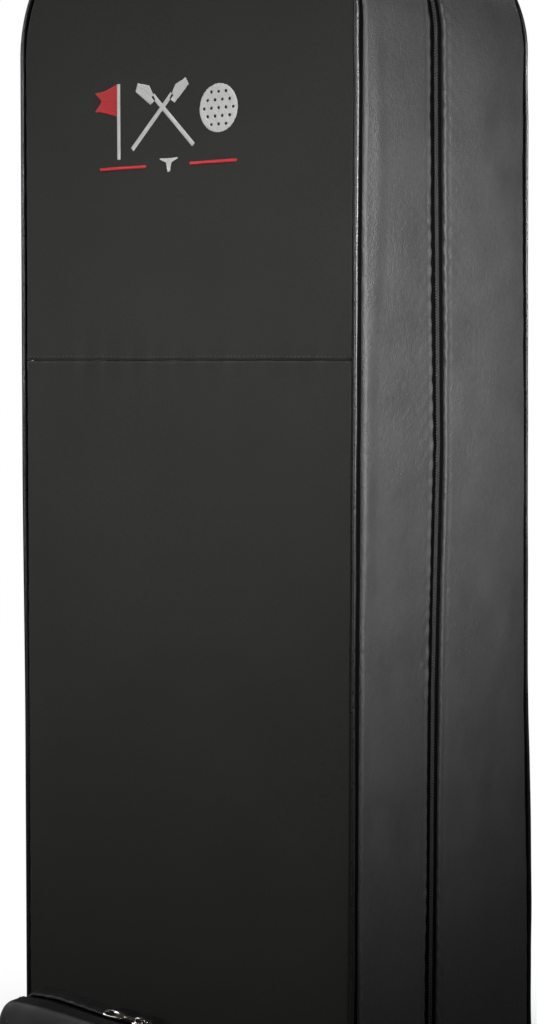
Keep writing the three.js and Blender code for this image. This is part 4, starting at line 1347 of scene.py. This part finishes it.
# %% The straps inside
def make_strap(level, hand):
    low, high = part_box(f"{level}_strap_{hand}")
    x = np.linspace(low.x, high.x, 60)
    z = np.full_like(x, (low.z + high.z) / 2)
    middle = (low.y + high.y) / 2
    lean = (BACK - BACK_AT_TOP) / (TOP - RIM)
    outward = np.broadcast_to(unit(np.array([0.0, -1.0, -lean])), (60, 3))
    across = np.broadcast_to(unit(np.array([0.0, -lean, 1.0])), (60, 3))
    ease = 0.5 * MM * wander(x, 30 * MM, 121) * np.sin(math.pi * (x - low.x) / (high.x - low.x))
    centres = np.stack([x, middle - ease, z], -1)
    section = flat_section(38 * MM, 1.6 * MM)
    strap = tube(f"{level}_{hand}_strap", centres, across, outward, section, STRAP_WEBBING)
    stand_in(strap, f"{level}_strap_{hand}", "case_shell")
    at = slice(2, 12) if hand == "left" else slice(-12, -2)
    top, side = centres[at] + 0.95 * MM * outward[at], across[at] * 15 * MM
    sweep = np.linspace(-1, 1, 10)[:, None]
    lines = [top + side, top - side, top + side * sweep, top - side * sweep]
    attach(stitch_rows(f"{level}_{hand}_strap_stitches", lines, [outward[at]] * 4), "case_shell")


for level in ("lower", "upper"):
    for hand in ("left", "right"):
        make_strap(level, hand)

# %% [markdown]
# ## Crown padding
#
# The crown carries thick foam inside, because the club heads sit there. It is a quilted cushion behind the
# upper front panel, and a padded arch that lines the crown. Both are swollen by the cloth simulation. The
# cushion's quilting lines are pressed in afterwards, since a remesh would smooth them away.

# %% Padding cloth and pads
def quilted(piece, pitch=62 * MM, depth=2.0 * MM):
    """Presses slanting quilting lines into a pad."""
    mesh = piece.data
    points, out = np.empty(len(mesh.vertices) * 3), np.empty(len(mesh.vertices) * 3)
    mesh.vertices.foreach_get("co", points)
    mesh.vertices.foreach_get("normal", out)
    points, out = points.reshape(-1, 3), out.reshape(-1, 3)
    x, z = points[:, 0], points[:, 2]
    for u in ((x + z) / math.sqrt(2), (x - z) / math.sqrt(2)):
        off = np.abs((u + 10) % pitch - pitch / 2)
        points -= out * (depth * np.exp(-((off / (4 * MM)) ** 2)))[:, None]
    mesh.vertices.foreach_set("co", points.ravel())
    mesh.update()


def rounded_edge(edge):
    """How much thinner half a pad is at a distance from its edge."""
    return 3.4 * MM * (1 - np.sqrt(1 - np.clip(1 - edge / (6 * MM), 0, 1) ** 2))


def declare_pad(pad, part, body):
    stand_in(pad, part, body)


def make_front_pad():
    low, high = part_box("front_crown_pad")
    inset = 14 * MM
    reach = CROWN_RADIUS - inset
    rise = np.linspace(0, math.pi / 2, 24)[1:]
    z = np.concatenate([np.linspace(low.z, CROWN_START, 56), CROWN_START + reach * np.sin(rise)])[:, None]
    turn = np.arcsin(np.clip((z - CROWN_START) / reach, 0, 1))
    half = np.where(z < CROWN_START, half_width(z) - inset, CROWN_CENTRE + reach * np.cos(turn))
    x = np.linspace(-1, 1, 81)[None, :] * half
    edge = np.minimum(np.minimum(half - np.abs(x), z - low.z), TOP - inset - z)
    thin = rounded_edge(edge)
    flat = np.broadcast_arrays(x, z)
    outside = np.stack([flat[0], low.y + 1.4 * MM + thin, flat[1]], -1)
    inside = np.stack([flat[0], high.y - 1.4 * MM - thin, flat[1]], -1)
    pad = puffed(shell("front_crown_cushion", outside, inside, LINING, LINING), 1.2 * MM)
    quilted(pad)
    declare_pad(pad, "front_crown_pad", "front_cover")


def make_rear_pad():
    low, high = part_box("rear_crown_pad")
    run = arch_steps(low.z, 6 * MM)
    x, z, out_x, out_z = (a[:, None] for a in arch_at(run, low.z))
    share = np.linspace(0, 1, 26)[None, :]
    reach = back_at(z) - 9 * MM - low.y
    y = low.y + MM + share * reach
    edge = np.minimum(share, 1 - share) * reach
    thin = rounded_edge(edge)
    outward = np.stack(np.broadcast_arrays(out_x, 0 * y, out_z), -1)
    base = np.stack(np.broadcast_arrays(x, y, z), -1)
    outside, inside = (base - depth[..., None] * outward for depth in (7.0 * MM + thin, 14.0 * MM - thin))
    pad = puffed(shell("rear_crown_cushion", outside, inside, LINING, LINING), 1.2 * MM)
    declare_pad(pad, "rear_crown_pad", "case_shell")


make_front_pad()
make_rear_pad()

# %% [markdown]
# ## Hard parts
#
# The tub, boards, housings, wheels, rails and buckles are rigid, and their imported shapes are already
# right, so they keep them. What a moulding has and they lack is a small radius on every edge, which is what
# catches the light. Each gets welded seams, a bevel and its finish.

# %% Edges and finishes for hard parts
def finish_hard(name, finish, edge):
    part = nodes[name]
    weld = part.modifiers.new("weld", "WELD")
    weld.merge_threshold = 0.02 * MM
    bevel = part.modifiers.new("edges", "BEVEL")
    bevel.width, bevel.segments, bevel.limit_method = edge, 2, "ANGLE"
    bevel.angle_limit, bevel.harden_normals = math.radians(32), True
    part.data.polygons.foreach_set("use_smooth", np.ones(len(part.data.polygons), bool))
    part.data.materials.clear()
    part.data.materials.append(finish)


HARD_PARTS = [("base_tub", TUB_PLASTIC, 1.0), ("base_board", BOARD, 0.5), ("back_board", BOARD, 0.4)]
for hand in ("left", "right"):
    HARD_PARTS += [
        (f"wheel_housing_{hand}", TUB_PLASTIC, 0.8),
        (f"skid_rail_{hand}", TUB_PLASTIC, 1.2),
        (f"axle_{hand}", STEEL, 0.4),
        (f"wheel_hub_{hand}", WHEEL_CORE, 0.5),
        (f"wheel_tyre_{hand}", TYRE_RUBBER, 1.2),
        (f"wheel_bearing_{hand}_inner", STEEL, 0.3),
        (f"wheel_bearing_{hand}_outer", STEEL, 0.3),
    ]
    HARD_PARTS += [(f"rail_screw_{hand}_{place}", STEEL, 0.3) for place in ("low", "middle", "high")]
for level in ("upper", "lower"):
    HARD_PARTS += [(f"{level}_buckle_{half}", BUCKLE_PLASTIC, 0.6) for half in ("socket", "plug")]
for name, finish, edge in HARD_PARTS:
    finish_hard(name, finish, edge * MM)
print(len(HARD_PARTS), "hard parts finished")

# %% [markdown]
# ## Sliders and pulls
#
# A slider is a die casting: a shield-shaped plate over the teeth, and a bridge that the pull hangs from.
# The pull is a flat bar with an eye at one end and a slot at the other. Their outlines are simple curves,
# so each is a few rings of points, drawn in a little at top and bottom to round the edges.

# %% Castings
def oval(length, width, taper=0.0, power=2.6, sides=44):
    """A rounded outline in two directions. A taper makes its far end narrower."""
    angle = np.linspace(0, 2 * math.pi, sides, endpoint=False)
    c, w = np.cos(angle), np.sin(angle)
    u = length / 2 * np.sign(c) * np.abs(c) ** (2 / power)
    v = width / 2 * np.sign(w) * np.abs(w) ** (2 / power)
    return np.stack([u, v * (1 - taper * u / length)], -1)


def plate(outline, low, high, edge=0.35, hole=None):
    """Rings of a plate with soft edges, or of a flat ring when there is a hole."""

    def level(shape, height, inset):
        middle = shape.mean(axis=0)
        shrunk = middle + (shape - middle) * (1 - inset / np.abs(shape - middle).max())
        return np.column_stack([shrunk, np.full(len(shape), height)])

    outer = [(low, edge), (low + edge, 0), (high - edge, 0), (high, edge)]
    rings = [level(outline, *step) for step in outer]
    if hole is not None:
        rings += [level(hole, height, -inset) for height, inset in outer[::-1]]
    return np.array(rings) * MM


def join_pieces(name, pieces):
    built = bmesh.new()
    for piece in pieces:
        built.from_mesh(piece.data)
    mesh = pieces[0].data.copy()
    built.to_mesh(mesh)
    built.free()
    for piece in pieces:
        bpy.data.objects.remove(piece)
    joined = bpy.data.objects.new(name, mesh)
    bpy.context.scene.collection.objects.link(joined)
    return joined


def make_slider(which, origin, forward, out):
    """forward is where the pull lies, along the teeth, and out points out of the cloth."""
    origin, forward, out = (np.array(v, float) for v in (origin, forward, out))
    side = np.cross(out, forward)

    def cast(name, rings, looped=False):
        places = origin + rings[..., :1] * forward + rings[..., 1:2] * side + rings[..., 2:] * out
        return loft(name, places, NICKEL, looped=looped)

    shield = cast("shield", plate(oval(21, 12.5, 0.35), -0.4, 1.2))
    underside = cast("underside", plate(oval(20, 10, 0.35), -6.6, -5.0))
    angle = np.linspace(0, math.pi, 25)
    line = np.stack([7.4 * np.cos(angle), 0 * angle, 0.8 + 4.6 * np.sin(angle) ** 0.7], -1) * MM
    tangent = unit(np.gradient(line, axis=0))
    normal = np.stack([-tangent[:, 2], 0 * angle, tangent[:, 0]], -1)
    section = oval(2.8, 1.5, sides=16) * MM
    bridge = line[:, None] + section[None, :, :1] * np.array([0, 1, 0]) + section[None, :, 1:] * normal[:, None]
    casting = join_pieces(f"{which}_slider_casting", [shield, underside, cast("bridge", bridge)])
    stand_in(casting, f"{which}_slider", f"{which}_slider")
    eye = plate(oval(9, 9.4, power=2.2) + [2.0, 0], 1.6, 3.2, hole=oval(5.4, 5.0, power=2.0) + [1.8, 0])
    stem = plate(oval(17, 4.6, power=5) + [14, 0], 1.7, 3.1)
    tab = plate(oval(24, 9.6, power=3.4) + [31, 0], 1.4, 3.4, hole=oval(8.5, 3.6, power=2.4) + [35.5, 0])
    parts = [cast("eye", eye, True), cast("stem", stem), cast("tab", tab, True)]
    bar = join_pieces(f"{which}_pull_bar", parts)
    stand_in(bar, f"{which}_pull", f"{which}_pull")
    print(which, "slider and pull:", len(casting.data.vertices) + len(bar.data.vertices), "points")


for level, height in (("upper", 0.8), ("lower", 0.745)):
    make_slider(level, (-float(half_width(height)), ZIP, height), (0, 0, -1), (-1, 0, 0))
slider_low, slider_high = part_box("pocket_slider")
TILT = math.radians(28)
place = ((slider_low.x + slider_high.x) / 2, POCKET_ZIP, POCKET_HIGH + 5 * MM)
make_slider("pocket", place, (-1, 0, 0), (0, -math.sin(TILT), math.cos(TILT)))
